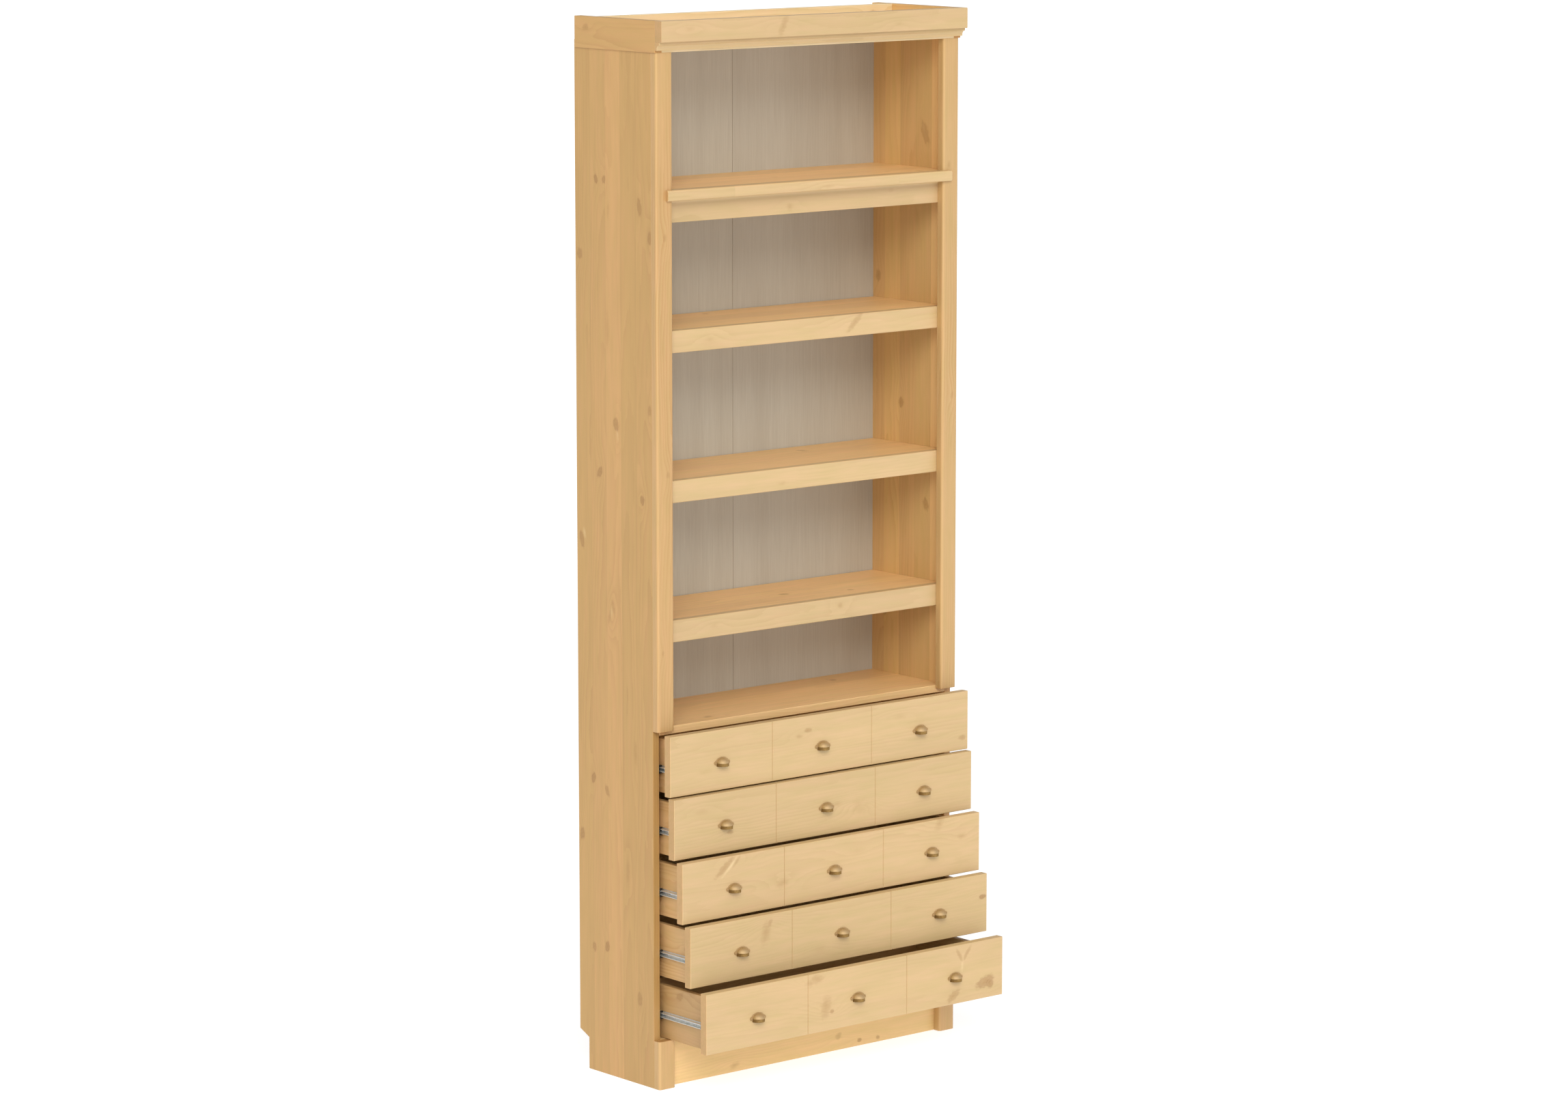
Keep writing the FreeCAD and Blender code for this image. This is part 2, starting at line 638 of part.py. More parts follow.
def drawer_front(index):
    foot = drawer_foot(index)
    front = block(-HALF, HALF, FRONT_FACE, FRONT_REAR, foot, foot + FRONT_H)
    rim = edges_at(front, "x", y=FRONT_FACE) + edges_at(front, "z", y=FRONT_FACE)
    front = front.makeFillet(FRONT_R, rim)
    grooves = []
    for k in range(1, PANELS_PER_FRONT):
        x = -HALF + WIDTH * k / PANELS_PER_FRONT
        start = (x - V_GROOVE_W / 2, FRONT_FACE, foot)
        corner = (x, FRONT_FACE + V_GROOVE_DEPTH, foot)
        end = (x + V_GROOVE_W / 2, FRONT_FACE, foot)
        grooves.append(profile_solid([corner, end, start], start, (0, 0, FRONT_H)))
    dowels = [box_dowel(x, z, DOWEL_SLACK, DOWEL_END_SLACK) for x, z in box_dowel_places(index)]
    screws = [rod(PULL_SCREW_R + SCREW_HOLE_SLACK, (x + side * EAR_CENTRE, FRONT_FACE, z - EAR_DROP),
                  (0, 1, 0), PULL_SCREW_IN + DOWEL_END_SLACK)
              for x, z in pull_places(index) for side in (-1, 1)]
    holes = grooves + dowels + [mirrored(hole) for hole in dowels] + screws
    return cut_all(front, holes + [bottom_slot(index)])


def drawer_box(index):
    """Both sides and the back, with the dowels that join the sides to the front."""
    foot = drawer_foot(index) - BOX_FOOT_DROP
    rear = FRONT_REAR + BOX_LENGTH
    level = bottom_level(index)
    side = block(BOX_HALF - BOX_T, BOX_HALF, FRONT_REAR, rear, foot, foot + BOX_H)
    dowels = [box_dowel(x, z) for x, z in box_dowel_places(index)]
    holes = [box_dowel(x, z, DOWEL_SLACK, DOWEL_END_SLACK) for x, z in box_dowel_places(index)]
    line = FRONT + RUNNER_SETBACK
    height = drawer_foot(index) + RUNNER_HEIGHT
    holes += [rod(SCREW_R + SCREW_HOLE_SLACK, (BOX_HALF - SCREW_IN_SIDE - DOWEL_END_SLACK, line + along, height),
                  (1, 0, 0), SCREW_IN_SIDE + DOWEL_END_SLACK) for along in SLIDER_SCREWS]
    side = cut_all(side, holes + [bottom_slot(index)])
    inner = BOX_HALF - BOX_T
    back = block(-inner, inner, rear - BOX_T, rear, level + BOTTOM_T, foot + BOX_H)
    return Part.makeCompound([side, mirrored(side), back] + dowels + [mirrored(peg) for peg in dowels])


def drawer_bottom(index):
    half = BOX_HALF - BOX_T + BOTTOM_GROOVE - BACK_EDGE_SLACK
    level = bottom_level(index)
    front = FRONT_REAR - BOTTOM_GROOVE + BACK_EDGE_SLACK
    return block(-half, half, front, FRONT_REAR + BOX_LENGTH, level, level + BOTTOM_T)


def drawer_pulls(index):
    pull = cup_pull()
    screws = [pull_screw(side) for side in (-1, 1)]
    return Part.makeCompound([moved(shape, x, FRONT_FACE, z)
                              for x, z in pull_places(index) for shape in [pull] + screws])


def drawer_runners(index):
    height = drawer_foot(index) + RUNNER_HEIGHT
    pieces = [drawer_channel()] + [side_screw(along) for along in SLIDER_SCREWS]
    return on_both_sides([moved(piece, z=height) for piece in pieces])


def drawer_ball_cages(index):
    """Cages of one drawer: they travel half as far as the drawer does."""
    height = drawer_foot(index) + RUNNER_HEIGHT
    shut_by = (RUNNER_TRAVEL - DRAWER_OPEN[index]) / 2
    return on_both_sides([moved(ball_cage(), y=shut_by, z=height)])


# ---------------------------------------------------------------- the nodes
def carcass_nodes():
    side = side_panel()
    stile = upright(STILE_FOOT, CORNICE_FOOT)
    post = upright(0, PLINTH_H)
    back = back_board()
    cornice_board = cornice_side()
    nodes = {name: fixed_board(name) for name in FIXED_MIDDLES}
    nodes.update({
        "side_panel_left": mirrored(side),
        "side_panel_right": side,
        "plinth_board": plinth_board(),
        "stile_left": mirrored(stile),
        "stile_right": stile,
        "base_post_left": mirrored(post),
        "base_post_right": post,
        "back_board_left": mirrored(back),
        "back_board_right": back,
        "back_batten": back_batten(),
        "mid_rail": mid_rail(),
        "mid_moulding": mid_moulding(),
        "shelf_lower": loose_shelf(SHELF_FEET[0]),
        "shelf_middle": loose_shelf(SHELF_FEET[1]),
        "shelf_upper": loose_shelf(SHELF_FEET[2]),
        "shelf_pins": shelf_pins(),
        "cornice_fascia": cornice_fascia(),
        "cornice_bed_moulding": cornice_bed_moulding(),
        "cornice_side_left": mirrored(cornice_board),
        "cornice_side_right": cornice_board,
        "cornice_front_rail": cornice_front_rail(),
        "cornice_back_rail": cornice_back_rail(),
        "carcass_dowels": carcass_dowels(),
        "cabinet_runners": cabinet_runners(),
        "runner_end_stops": runner_end_stops(),
        "runner_screws": runner_screws(),
    })
    return nodes


def drawer_nodes():
    """Drawer 1 is the highest one."""
    nodes = {}
    for index in range(DRAWER_COUNT):
        name = "drawer_%d" % (DRAWER_COUNT - index)
        out = -DRAWER_OPEN[index]
        nodes[name + "_front"] = moved(drawer_front(index), y=out)
        nodes[name + "_box"] = moved(drawer_box(index), y=out)
        nodes[name + "_bottom"] = moved(drawer_bottom(index), y=out)
        nodes[name + "_pulls"] = moved(drawer_pulls(index), y=out)
        nodes[name + "_runners"] = moved(drawer_runners(index), y=out)
        nodes[name + "_ball_cages"] = drawer_ball_cages(index)
    return nodes


def main():
    os.makedirs("parts", exist_ok=True)
    nodes = carcass_nodes()
    nodes.update(drawer_nodes())
    for name, shape in sorted(nodes.items()):
        shape.exportStep("parts/%s.step" % name)
        print("%-24s %3d solids  %12.1f mm3  valid %s"
              % (name, len(shape.Solids), shape.Volume, shape.isValid()))


main()
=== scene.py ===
# %% [markdown]
# # A tall pine bookcase with five drawers
#
# The construction comes in as a fixed frame of boards, runners and pulls, in metres, with the front
# facing -Y. This notebook dresses it: it eases the edges of the boards, models the pulls and runners
# more finely, and gives every piece the finish of the real one. Nothing here changes a dimension.

# %% Load the frame
import json
import math
import random

import bmesh
import bpy
from mathutils import Euler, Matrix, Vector

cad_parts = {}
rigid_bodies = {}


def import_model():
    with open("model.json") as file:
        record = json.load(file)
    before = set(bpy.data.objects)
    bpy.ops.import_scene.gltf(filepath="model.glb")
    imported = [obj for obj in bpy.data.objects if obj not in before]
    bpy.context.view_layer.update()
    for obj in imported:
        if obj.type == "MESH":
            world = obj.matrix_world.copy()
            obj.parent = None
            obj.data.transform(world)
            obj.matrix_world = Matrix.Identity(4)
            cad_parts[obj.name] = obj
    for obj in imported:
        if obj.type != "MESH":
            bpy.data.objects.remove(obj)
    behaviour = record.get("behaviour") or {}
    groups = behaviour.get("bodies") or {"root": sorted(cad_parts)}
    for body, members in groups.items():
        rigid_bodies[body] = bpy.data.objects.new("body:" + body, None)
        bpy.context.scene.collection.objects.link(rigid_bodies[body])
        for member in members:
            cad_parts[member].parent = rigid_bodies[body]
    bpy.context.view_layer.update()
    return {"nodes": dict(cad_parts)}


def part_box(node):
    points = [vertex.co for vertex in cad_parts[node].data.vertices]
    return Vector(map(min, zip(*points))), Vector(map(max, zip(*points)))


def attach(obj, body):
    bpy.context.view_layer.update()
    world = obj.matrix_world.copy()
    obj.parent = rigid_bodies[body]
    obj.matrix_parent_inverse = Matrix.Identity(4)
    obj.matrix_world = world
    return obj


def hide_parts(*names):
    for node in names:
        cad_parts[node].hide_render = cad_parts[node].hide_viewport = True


for leftover in list(bpy.data.objects):
    bpy.data.objects.remove(leftover)
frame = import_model()
scene = bpy.context.scene
MM = 0.001
print("nodes in the frame:", len(frame["nodes"]))

# %% [markdown]
# ## The camera
#
# The bookcase is seen from its left front corner, a little from above, through a long lens that keeps
# the perspective mild. The lens is worked out from the wanted picture: a focal length in pixels of a
# picture 2296 pixels wide, turned into millimetres of Blender's 36 mm sensor.

# %% Camera
PICTURE_WIDTH = 2296
FOCAL_PIXELS = 7601.3
SENSOR_MM = 36.0
HEADING = 39.9003           # degrees from +Y towards +X
PITCH = 9.0108              # degrees below the horizon
STAND = (-6.7684, -8.0353, 2.7234)
FAR_END = 300.0             # metres that the camera sees

lens_data = bpy.data.cameras.new("studio camera")
lens_data.sensor_width = SENSOR_MM
lens_data.lens = FOCAL_PIXELS / PICTURE_WIDTH * SENSOR_MM
lens_data.clip_end = FAR_END
camera = bpy.data.objects.new("studio camera", lens_data)
camera.location = STAND
camera.rotation_euler = (math.radians(90 - PITCH), 0, math.radians(-HEADING))
scene.collection.objects.link(camera)
scene.camera = camera
print("lens: %.1f mm" % lens_data.lens)

# %% [markdown]
# ## Colours and nodes
#
# Paint and wood colours are easiest to judge as the hex numbers of a screen. Blender's sockets take
# linear light, so one function turns the one into the other. A second small function adds a node, which
# keeps the recipes below short enough to read: it takes the node's kind without Blender's own word
# ShaderNode, its settings or only its operation, and its inputs in order or by name. The others start a
# material or a node group, and give a piece its materials.

# %% Helpers for materials
def paint(hex_digits):
    """A screen colour as the linear colour with alpha that a socket takes."""
    channels = [int(hex_digits[k:k + 2], 16) / 255 for k in (0, 2, 4)]
    linear = [c / 12.92 if c <= 0.04045 else ((c + 0.055) / 1.055) ** 2.4 for c in channels]
    return (*linear, 1.0)


def feed(node, inputs):
    """Sets a node's inputs, in order or by name, each to a value or to the output that feeds it."""
    for key, value in (inputs.items() if isinstance(inputs, dict) else enumerate(inputs)):
        if isinstance(value, bpy.types.NodeSocket):
            node.id_data.links.new(value, node.inputs[key])
        else:
            node.inputs[key].default_value = value


def add_node(tree, kind, settings=None, inputs=()):
    """Adds one node with its settings, or with just its operation, and its inputs."""
    node = tree.nodes.new("ShaderNode" + kind)
    if isinstance(settings, str):
        settings = {"operation": settings}
    for name, value in (settings or {}).items():
        setattr(node, name, value)
    feed(node, inputs)
    return node


def new_material(name):
    """A new material with its tree, its shader and its coordinates."""
    material = bpy.data.materials.new(name)
    material.use_nodes = True
    tree = material.node_tree
    return material, tree, tree.nodes["Principled BSDF"], add_node(tree, "TexCoord").outputs


def dress(obj, *materials):
    """Gives a piece its materials; clearing an empty list would reset which face takes which."""
    if obj.data.materials:
        obj.data.materials.clear()
    for material in materials:
        obj.data.materials.append(material)


def new_group(name, takes, gives):
    """An empty node group with its sockets, as (tree, its inputs, its output node)."""
    tree = bpy.data.node_groups.new(name, "ShaderNodeTree")
    for label, kind in takes:
        tree.interface.new_socket(label, in_out="INPUT", socket_type=kind)
    for label, kind in gives:
        tree.interface.new_socket(label, in_out="OUTPUT", socket_type=kind)
    return tree, tree.nodes.new("NodeGroupInput").outputs, tree.nodes.new("NodeGroupOutput")


VECTOR, FLOAT, COLOUR = "NodeSocketVector", "NodeSocketFloat", "NodeSocketColor"
print("the screen's 808080 is %.3f in linear light" % paint("808080")[0])

# %% [markdown]
# ## A knot
#
# A knot is the stump of a branch that the trunk grew round. Cut across, it is a soft brown oval with a
# faint rim; cut lengthwise, it is a slanting flame, often with a pale streak beside it. Either way the
# grain swerves round it. The group below works on a place in millimetres, with x along the grain, and
# adds one knot to what came before: how far it pushes the growth rings aside, its brown wood, its rim
# and, where its depth is negative, a pale streak. Groups like this can be chained, so a board gets its
# knots one by one, where they should be.

# %% Node group: one knot
WOBBLE = (1 / 11, 1 / 5, 1 / 5)     # a knot's outline wobbles every 11 mm along and 5 mm across
RAGGED = 1.3                # how far the wobble moves the outline, in half widths
RIM_PLACE, RIM_CRISP = 0.85, 4.0    # where the dark line runs, in half widths, and how thin it is


def knot_group():
    """The node group that adds one knot to what the knots before it have made."""
    takes = [("Place", VECTOR), ("Centre", VECTOR), ("Half length", FLOAT), ("Half width", FLOAT),
             ("Turn", FLOAT), ("Depth", FLOAT), ("Swell", FLOAT), ("Wood", FLOAT), ("Rim", FLOAT),
             ("Pale", FLOAT)]
    gives = [("Swell", FLOAT), ("Wood", FLOAT), ("Rim", FLOAT), ("Pale", FLOAT)]
    tree, given, result = new_group("knot", takes, gives)
    away = add_node(tree, "VectorMath", "SUBTRACT", [given["Place"], given["Centre"]]).outputs[0]
    flat = add_node(tree, "VectorMath", "MULTIPLY", [away, (1, 1, 0)]).outputs[0]
    turned = add_node(tree, "VectorRotate", {"rotation_type": "Z_AXIS"},
                      {"Vector": flat, "Angle": given["Turn"]}).outputs[0]
    size = add_node(tree, "CombineXYZ", None, [given["Half length"], given["Half width"], 1.0]).outputs[0]
    scaled = add_node(tree, "VectorMath", "DIVIDE", [turned, size]).outputs[0]
    oval = add_node(tree, "VectorMath", "LENGTH", [scaled]).outputs["Value"]
    # the outline is ragged, more so along the grain than across it
    drawn_out = add_node(tree, "VectorMath", "MULTIPLY", [given["Place"], WOBBLE]).outputs[0]
    ragged = add_node(tree, "TexNoise", None,
                      {"Vector": drawn_out, "Scale": 1.0, "Detail": 3.0}).outputs["Fac"]
    pushed_out = add_node(tree, "Math", "MULTIPLY_ADD", [ragged, RAGGED, oval]).outputs[0]
    reach = add_node(tree, "Math", "SUBTRACT", [pushed_out, RAGGED / 2]).outputs[0]
    inside = add_node(tree, "MapRange", {"interpolation_type": "SMOOTHSTEP"},
                      [reach, -0.1, 1.6, 1.0, 0.0]).outputs[0]
    core = add_node(tree, "Math", "MULTIPLY", [inside, given["Depth"]]).outputs[0]
    wood = add_node(tree, "Math", "MAXIMUM", [core, given["Wood"]]).outputs[0]
    light = add_node(tree, "Math", "MULTIPLY", [core, -1.0]).outputs[0]
    pale = add_node(tree, "Math", "MAXIMUM", [light, given["Pale"]]).outputs[0]
    # a dark line where the outline runs, only on dark knots
    off_rim = add_node(tree, "Math", "MULTIPLY_ADD", [reach, RIM_CRISP, -RIM_CRISP * RIM_PLACE]).outputs[0]
    squared = add_node(tree, "Math", "MULTIPLY", [off_rim, off_rim]).outputs[0]
    fading = add_node(tree, "Math", "MULTIPLY", [squared, -1.0]).outputs[0]
    line = add_node(tree, "Math", "EXPONENT", [fading]).outputs[0]
    line_depth = add_node(tree, "Math", "MULTIPLY_ADD", [given["Depth"], 1.6, -0.6]).outputs[0]
    rim = add_node(tree, "Math", "MULTIPLY", [line, line_depth]).outputs[0]
    rims = add_node(tree, "Math", "MAXIMUM", [rim, given["Rim"]]).outputs[0]
    # the grain bends out round it and closes again well beyond its ends
    long_reach = add_node(tree, "Math", "MULTIPLY_ADD", [given["Half length"], 1.8, 22.0]).outputs[0]
    wide_reach = add_node(tree, "Math", "MULTIPLY_ADD", [given["Half width"], 1.6, 6.0]).outputs[0]
    field = add_node(tree, "CombineXYZ", None, [long_reach, wide_reach, 1.0]).outputs[0]
    in_field = add_node(tree, "VectorMath", "DIVIDE", [flat, field]).outputs[0]
    field_square = add_node(tree, "VectorMath", "DOT_PRODUCT", [in_field, in_field]).outputs["Value"]
    field_fade = add_node(tree, "Math", "MULTIPLY", [field_square, -1.0]).outputs[0]
    near = add_node(tree, "Math", "EXPONENT", [field_fade]).outputs[0]
    push = add_node(tree, "Math", "MULTIPLY_ADD", [given["Half width"], 0.8, 4.0]).outputs[0]
    swell = add_node(tree, "Math", "MULTIPLY_ADD", [near, push, given["Swell"]]).outputs[0]
    feed(result, {"Swell": swell, "Wood": wood, "Rim": rims, "Pale": pale})
    return tree


KNOT = knot_group()
print("nodes in a knot:", len(KNOT.nodes))

# %% [markdown]
# ## Clear-lacquered pine
#
# A pine board is cut lengthwise from a trunk, so its figure is the growth rings, sliced at a slant.
# Each ring is pale early wood that darkens slowly to a thin band of late wood and then stops short.
# The group makes the rings as what they are: distances from a pith that lies well outside the board,
# warped by slow noise. The pattern is solid, so the figure on a face, the straight lines on an edge
# and the arcs on an end grain belong together, as on a real board. Under a clear satin lacquer this
# pine is calm: the rings are only a few percent darker, and the eye sees soft streaks and clouds,
# some a little greener, some a little pinker. Faces that little light reaches are painted paler and
# cooler, a painted fill light, and rounded edges carry a painted highlight.
#
# Wide boards are glued up from staves and long mouldings from finger-jointed lengths. Each stave and
# length gets its own pith, place and tone from white noise. Pine's rings are 2 to 4 mm apart, and are
# drawn 5.5 mm apart here, because finer ones would blur away at the size the bookcase is seen at.

# %% Node group: pine
GRAIN_NOISES = {            # size along the grain and across it in mm, and detail
    "clouds": (420, 60, 1.0),
    "waves": (90, 14, 3.0),
    "streaks": (240, 5, 2.0),
    "fibres": (30, 0.6, 2.0),
}
SEASON = ((0.0, 0.0), (0.45, 0.2), (0.8, 0.8), (0.9, 1.0), (1.0, 1.0))  # time of year, late wood
PITH_ASIDE = 80.0           # mm that a stave's pith lies to either side of its middle, at most
PITH_NEAR, PITH_FAR = 30.0, 80.0    # mm that it lies behind the stave's face
TRUNK_TAPER = 0.01          # rings drift by 10 mm over a metre
CLOUD_BEND, WAVE_BEND = 26.0, 6.0   # mm by which two of the noises push the rings
GREENER, PINKER = (0.985, 1.0, 0.94, 1), (1.02, 0.985, 1.02, 1)
PAINTED_FILL_COLOUR = (0.95, 1.06, 1.2, 1)   # the paler, cooler tint of the painted fill light on faces that little light reaches
THIRSTY = (1.1, 0.95, 0.78, 1)      # end grain drinks lacquer and turns warm and dark
TONE_RANGE, MEAN_TONE = 0.22, 0.815
TONES = {"clouds": 0.11, "waves": 0.12, "streaks": 0.08, "fibres": 0.06}


def pine_group():
    """The node group that gives pine's colour, roughness and height at a place in millimetres."""
    takes = [("Place", VECTOR), ("Facing", VECTOR), ("Early wood", COLOUR), ("Late wood", COLOUR),
             ("Stave", FLOAT), ("Length", FLOAT), ("Ring", FLOAT), ("Seed", FLOAT), ("Variety", FLOAT),
             ("Lighten", FLOAT), ("Swell", FLOAT), ("Wood", FLOAT), ("Rim", FLOAT), ("Pale", FLOAT)]
    gives = [("Colour", COLOUR), ("Roughness", FLOAT), ("Height", FLOAT)]
    tree, given, result = new_group("clear-lacquered pine", takes, gives)
    split = add_node(tree, "SeparateXYZ", None, [given["Place"]]).outputs
    # which stave across, and which finger-jointed length along
    steps = []
    seams = []
    for place, width in ((split[1], given["Stave"]), (split[0], given["Length"])):
        share = add_node(tree, "Math", "DIVIDE", [place, width]).outputs[0]
        whole = add_node(tree, "Math", "ROUND", [share]).outputs[0]
        rest = add_node(tree, "Math", "SUBTRACT", [share, whole]).outputs[0]
        inward = add_node(tree, "Math", "ABSOLUTE", [rest]).outputs[0]
        from_edge = add_node(tree, "Math", "SUBTRACT", [0.5, inward]).outputs[0]
        in_mm = add_node(tree, "Math", "MULTIPLY", [from_edge, width]).outputs[0]
        steps.append((whole, rest, width))
        seams.append(add_node(tree, "MapRange", None, [in_mm, 0.2, 0.9, 1.0, 0.0]).outputs[0])
    cell = add_node(tree, "CombineXYZ", None, [steps[0][0], steps[1][0], given["Seed"]]).outputs[0]
    chance = add_node(tree, "TexWhiteNoise", {"noise_dimensions": "3D"}, {"Vector": cell}).outputs["Color"]
    dice = add_node(tree, "SeparateXYZ", None, [chance]).outputs
    across = add_node(tree, "Math", "MULTIPLY", [steps[0][1], steps[0][2]]).outputs[0]
    own_place = add_node(tree, "VectorMath", "MULTIPLY_ADD",
                         [chance, (3000, 500, 700), given["Place"]]).outputs[0]
    # noises at four scales, all long along the grain and narrow across it
    noises = {}
    for label, (long_way, narrow_way, detail) in GRAIN_NOISES.items():
        stretched = add_node(tree, "VectorMath", "MULTIPLY",
                             [own_place, (1 / long_way, 1 / narrow_way, 1 / narrow_way)]).outputs[0]
        noises[label] = add_node(tree, "TexNoise", None,
                                 {"Vector": stretched, "Scale": 1.0, "Detail": detail}).outputs
    clouds = add_node(tree, "SeparateXYZ", None, [noises["clouds"]["Color"]]).outputs
    waves = noises["waves"]["Fac"]
    fibres = noises["fibres"]["Fac"]
    # growth rings
    pith_across = add_node(tree, "Math", "MULTIPLY_ADD", [dice[1], 2 * PITH_ASIDE, -PITH_ASIDE]).outputs[0]
    off_pith = add_node(tree, "Math", "SUBTRACT", [across, pith_across]).outputs[0]
    pith_depth = add_node(tree, "Math", "MULTIPLY_ADD",
                          [dice[2], PITH_FAR - PITH_NEAR, PITH_NEAR]).outputs[0]
    depth = add_node(tree, "Math", "ADD", [split[2], pith_depth]).outputs[0]
    section = add_node(tree, "CombineXYZ", None, [off_pith, depth, 0.0]).outputs[0]
    radius = add_node(tree, "VectorMath", "LENGTH", [section]).outputs["Value"]
    taper = add_node(tree, "Math", "MULTIPLY_ADD", [split[0], TRUNK_TAPER, radius]).outputs[0]
    bent = add_node(tree, "Math", "MULTIPLY_ADD", [noises["clouds"]["Fac"], CLOUD_BEND, taper]).outputs[0]
    wavy = add_node(tree, "Math", "MULTIPLY_ADD", [waves, WAVE_BEND, bent]).outputs[0]
    pushed = add_node(tree, "Math", "ADD", [wavy, given["Swell"]]).outputs[0]
    years = add_node(tree, "Math", "DIVIDE", [pushed, given["Ring"]]).outputs[0]
    within = add_node(tree, "Math", "FRACT", [years]).outputs[0]
    season = add_node(tree, "ValToRGB", None, [within])
    stops = season.color_ramp.elements
    for position, _ in SEASON[1:-1]:
        stops.new(position)
    for stop, (position, shade) in zip(stops, SEASON):
        stop.position = position
        stop.color = (shade, shade, shade, 1)
    strength = add_node(tree, "MapRange", None, [clouds[1], 0.35, 0.65, 0.1, 1.0]).outputs[0]
    late = add_node(tree, "Math", "MULTIPLY", [season.outputs[0], strength]).outputs[0]
    ringed = add_node(tree, "Mix", {"data_type": "RGBA"},
                      {0: late, 6: given["Early wood"], 7: given["Late wood"]}).outputs[2]
    # hue: clouds and whole staves drift between a greener and a pinker tint
    own_hue = add_node(tree, "Math", "SUBTRACT", [dice[2], 0.5]).outputs[0]
    own_lean = add_node(tree, "Math", "MULTIPLY", [own_hue, given["Variety"]]).outputs[0]
    leaning = add_node(tree, "Math", "MULTIPLY_ADD", [own_lean, 0.3, waves]).outputs[0]
    lean = add_node(tree, "MapRange", None, [leaning, 0.3, 0.7, 0.0, 1.0]).outputs[0]
    tint = add_node(tree, "Mix", {"data_type": "RGBA"}, {0: lean, 6: GREENER, 7: PINKER}).outputs[2]
    tinted = add_node(tree, "VectorMath", "MULTIPLY", [ringed, tint]).outputs[0]
    # tone: staves, clouds, streaks, fibres, glue lines, thirsty end grain, painted light and shade, and a
    # painted highlight along rounded edges
    facing = add_node(tree, "VectorMath", "ABSOLUTE", [given["Facing"]]).outputs[0]
    facings = add_node(tree, "SeparateXYZ", None, [facing]).outputs
    end_grain = add_node(tree, "MapRange", None, [facings[0], 0.75, 0.95, 0.0, 1.0]).outputs[0]
    # where no face is flat, on a rounded edge, the tone is raised: a painted highlight
    flattest = add_node(tree, "Math", "MAXIMUM", [facings[1], facings[2]]).outputs[0]
    flattest = add_node(tree, "Math", "MAXIMUM", [facings[0], flattest]).outputs[0]
    edge = add_node(tree, "MapRange", None, [flattest, 0.97, 0.85, 0.0, 1.0]).outputs[0]
    seam = add_node(tree, "Math", "MAXIMUM", [seams[0], seams[1]]).outputs[0]
    own_tone = add_node(tree, "Math", "SUBTRACT", [dice[0], 0.5]).outputs[0]
    own_share = add_node(tree, "Math", "MULTIPLY", [own_tone, given["Variety"]]).outputs[0]
    tone = add_node(tree, "Math", "MULTIPLY_ADD", [own_share, TONE_RANGE, MEAN_TONE]).outputs[0]
    for part, amount in ((clouds[2], TONES["clouds"]), (waves, TONES["waves"]),
                         (noises["streaks"]["Fac"], TONES["streaks"]), (fibres, TONES["fibres"]),
                         (seam, -0.07), (end_grain, -0.18), (edge, 0.11), (given["Lighten"], 1.0)):
        tone = add_node(tree, "Math", "MULTIPLY_ADD", [part, amount, tone]).outputs[0]
    toned = add_node(tree, "VectorMath", "SCALE", {0: tinted, "Scale": tone}).outputs[0]
    # a face with painted fill light is also painted paler and cooler
    painted_fill_share = add_node(tree, "Math", {"operation": "MULTIPLY", "use_clamp": True},
                       [given["Lighten"], 4.0]).outputs[0]
    painted_fill_tint = add_node(tree, "Mix", {"data_type": "RGBA"},
                     {0: painted_fill_share, 6: (1, 1, 1, 1), 7: PAINTED_FILL_COLOUR}).outputs[2]
    toned = add_node(tree, "VectorMath", "MULTIPLY", [toned, painted_fill_tint]).outputs[0]
    warm = add_node(tree, "Mix", {"data_type": "RGBA"},
                    {0: end_grain, 6: (1, 1, 1, 1), 7: THIRSTY}).outputs[2]
    warmed = add_node(tree, "VectorMath", "MULTIPLY", [toned, warm]).outputs[0]
    # knots over all
    finished = warmed
    for part, amount, colour in ((given["Pale"], 0.42, "F0D8A8"), (given["Wood"], 0.85, "99703A"),
                                 (given["Rim"], 0.42, "85562A")):
        share = add_node(tree, "Math", {"operation": "MULTIPLY", "use_clamp": True},
                         [part, amount]).outputs[0]
        finished = add_node(tree, "Mix", {"data_type": "RGBA"},
                            {0: share, 6: finished, 7: paint(colour)}).outputs[2]
    # the lacquer sinks a little into the early wood, so the late wood stands proud and shinier
    rough = add_node(tree, "MapRange", None, [late, 0.0, 1.0, 0.5, 0.4]).outputs[0]
    grain = add_node(tree, "Math", "MULTIPLY_ADD", [fibres, 0.6, late]).outputs[0]
    height = add_node(tree, "Math", "MULTIPLY_ADD", [given["Rim"], -0.8, grain]).outputs[0]
    feed(result, {"Colour": finished, "Roughness": rough, "Height": height})
    return tree


PINE = pine_group()
print("nodes in the pine:", len(PINE.nodes))
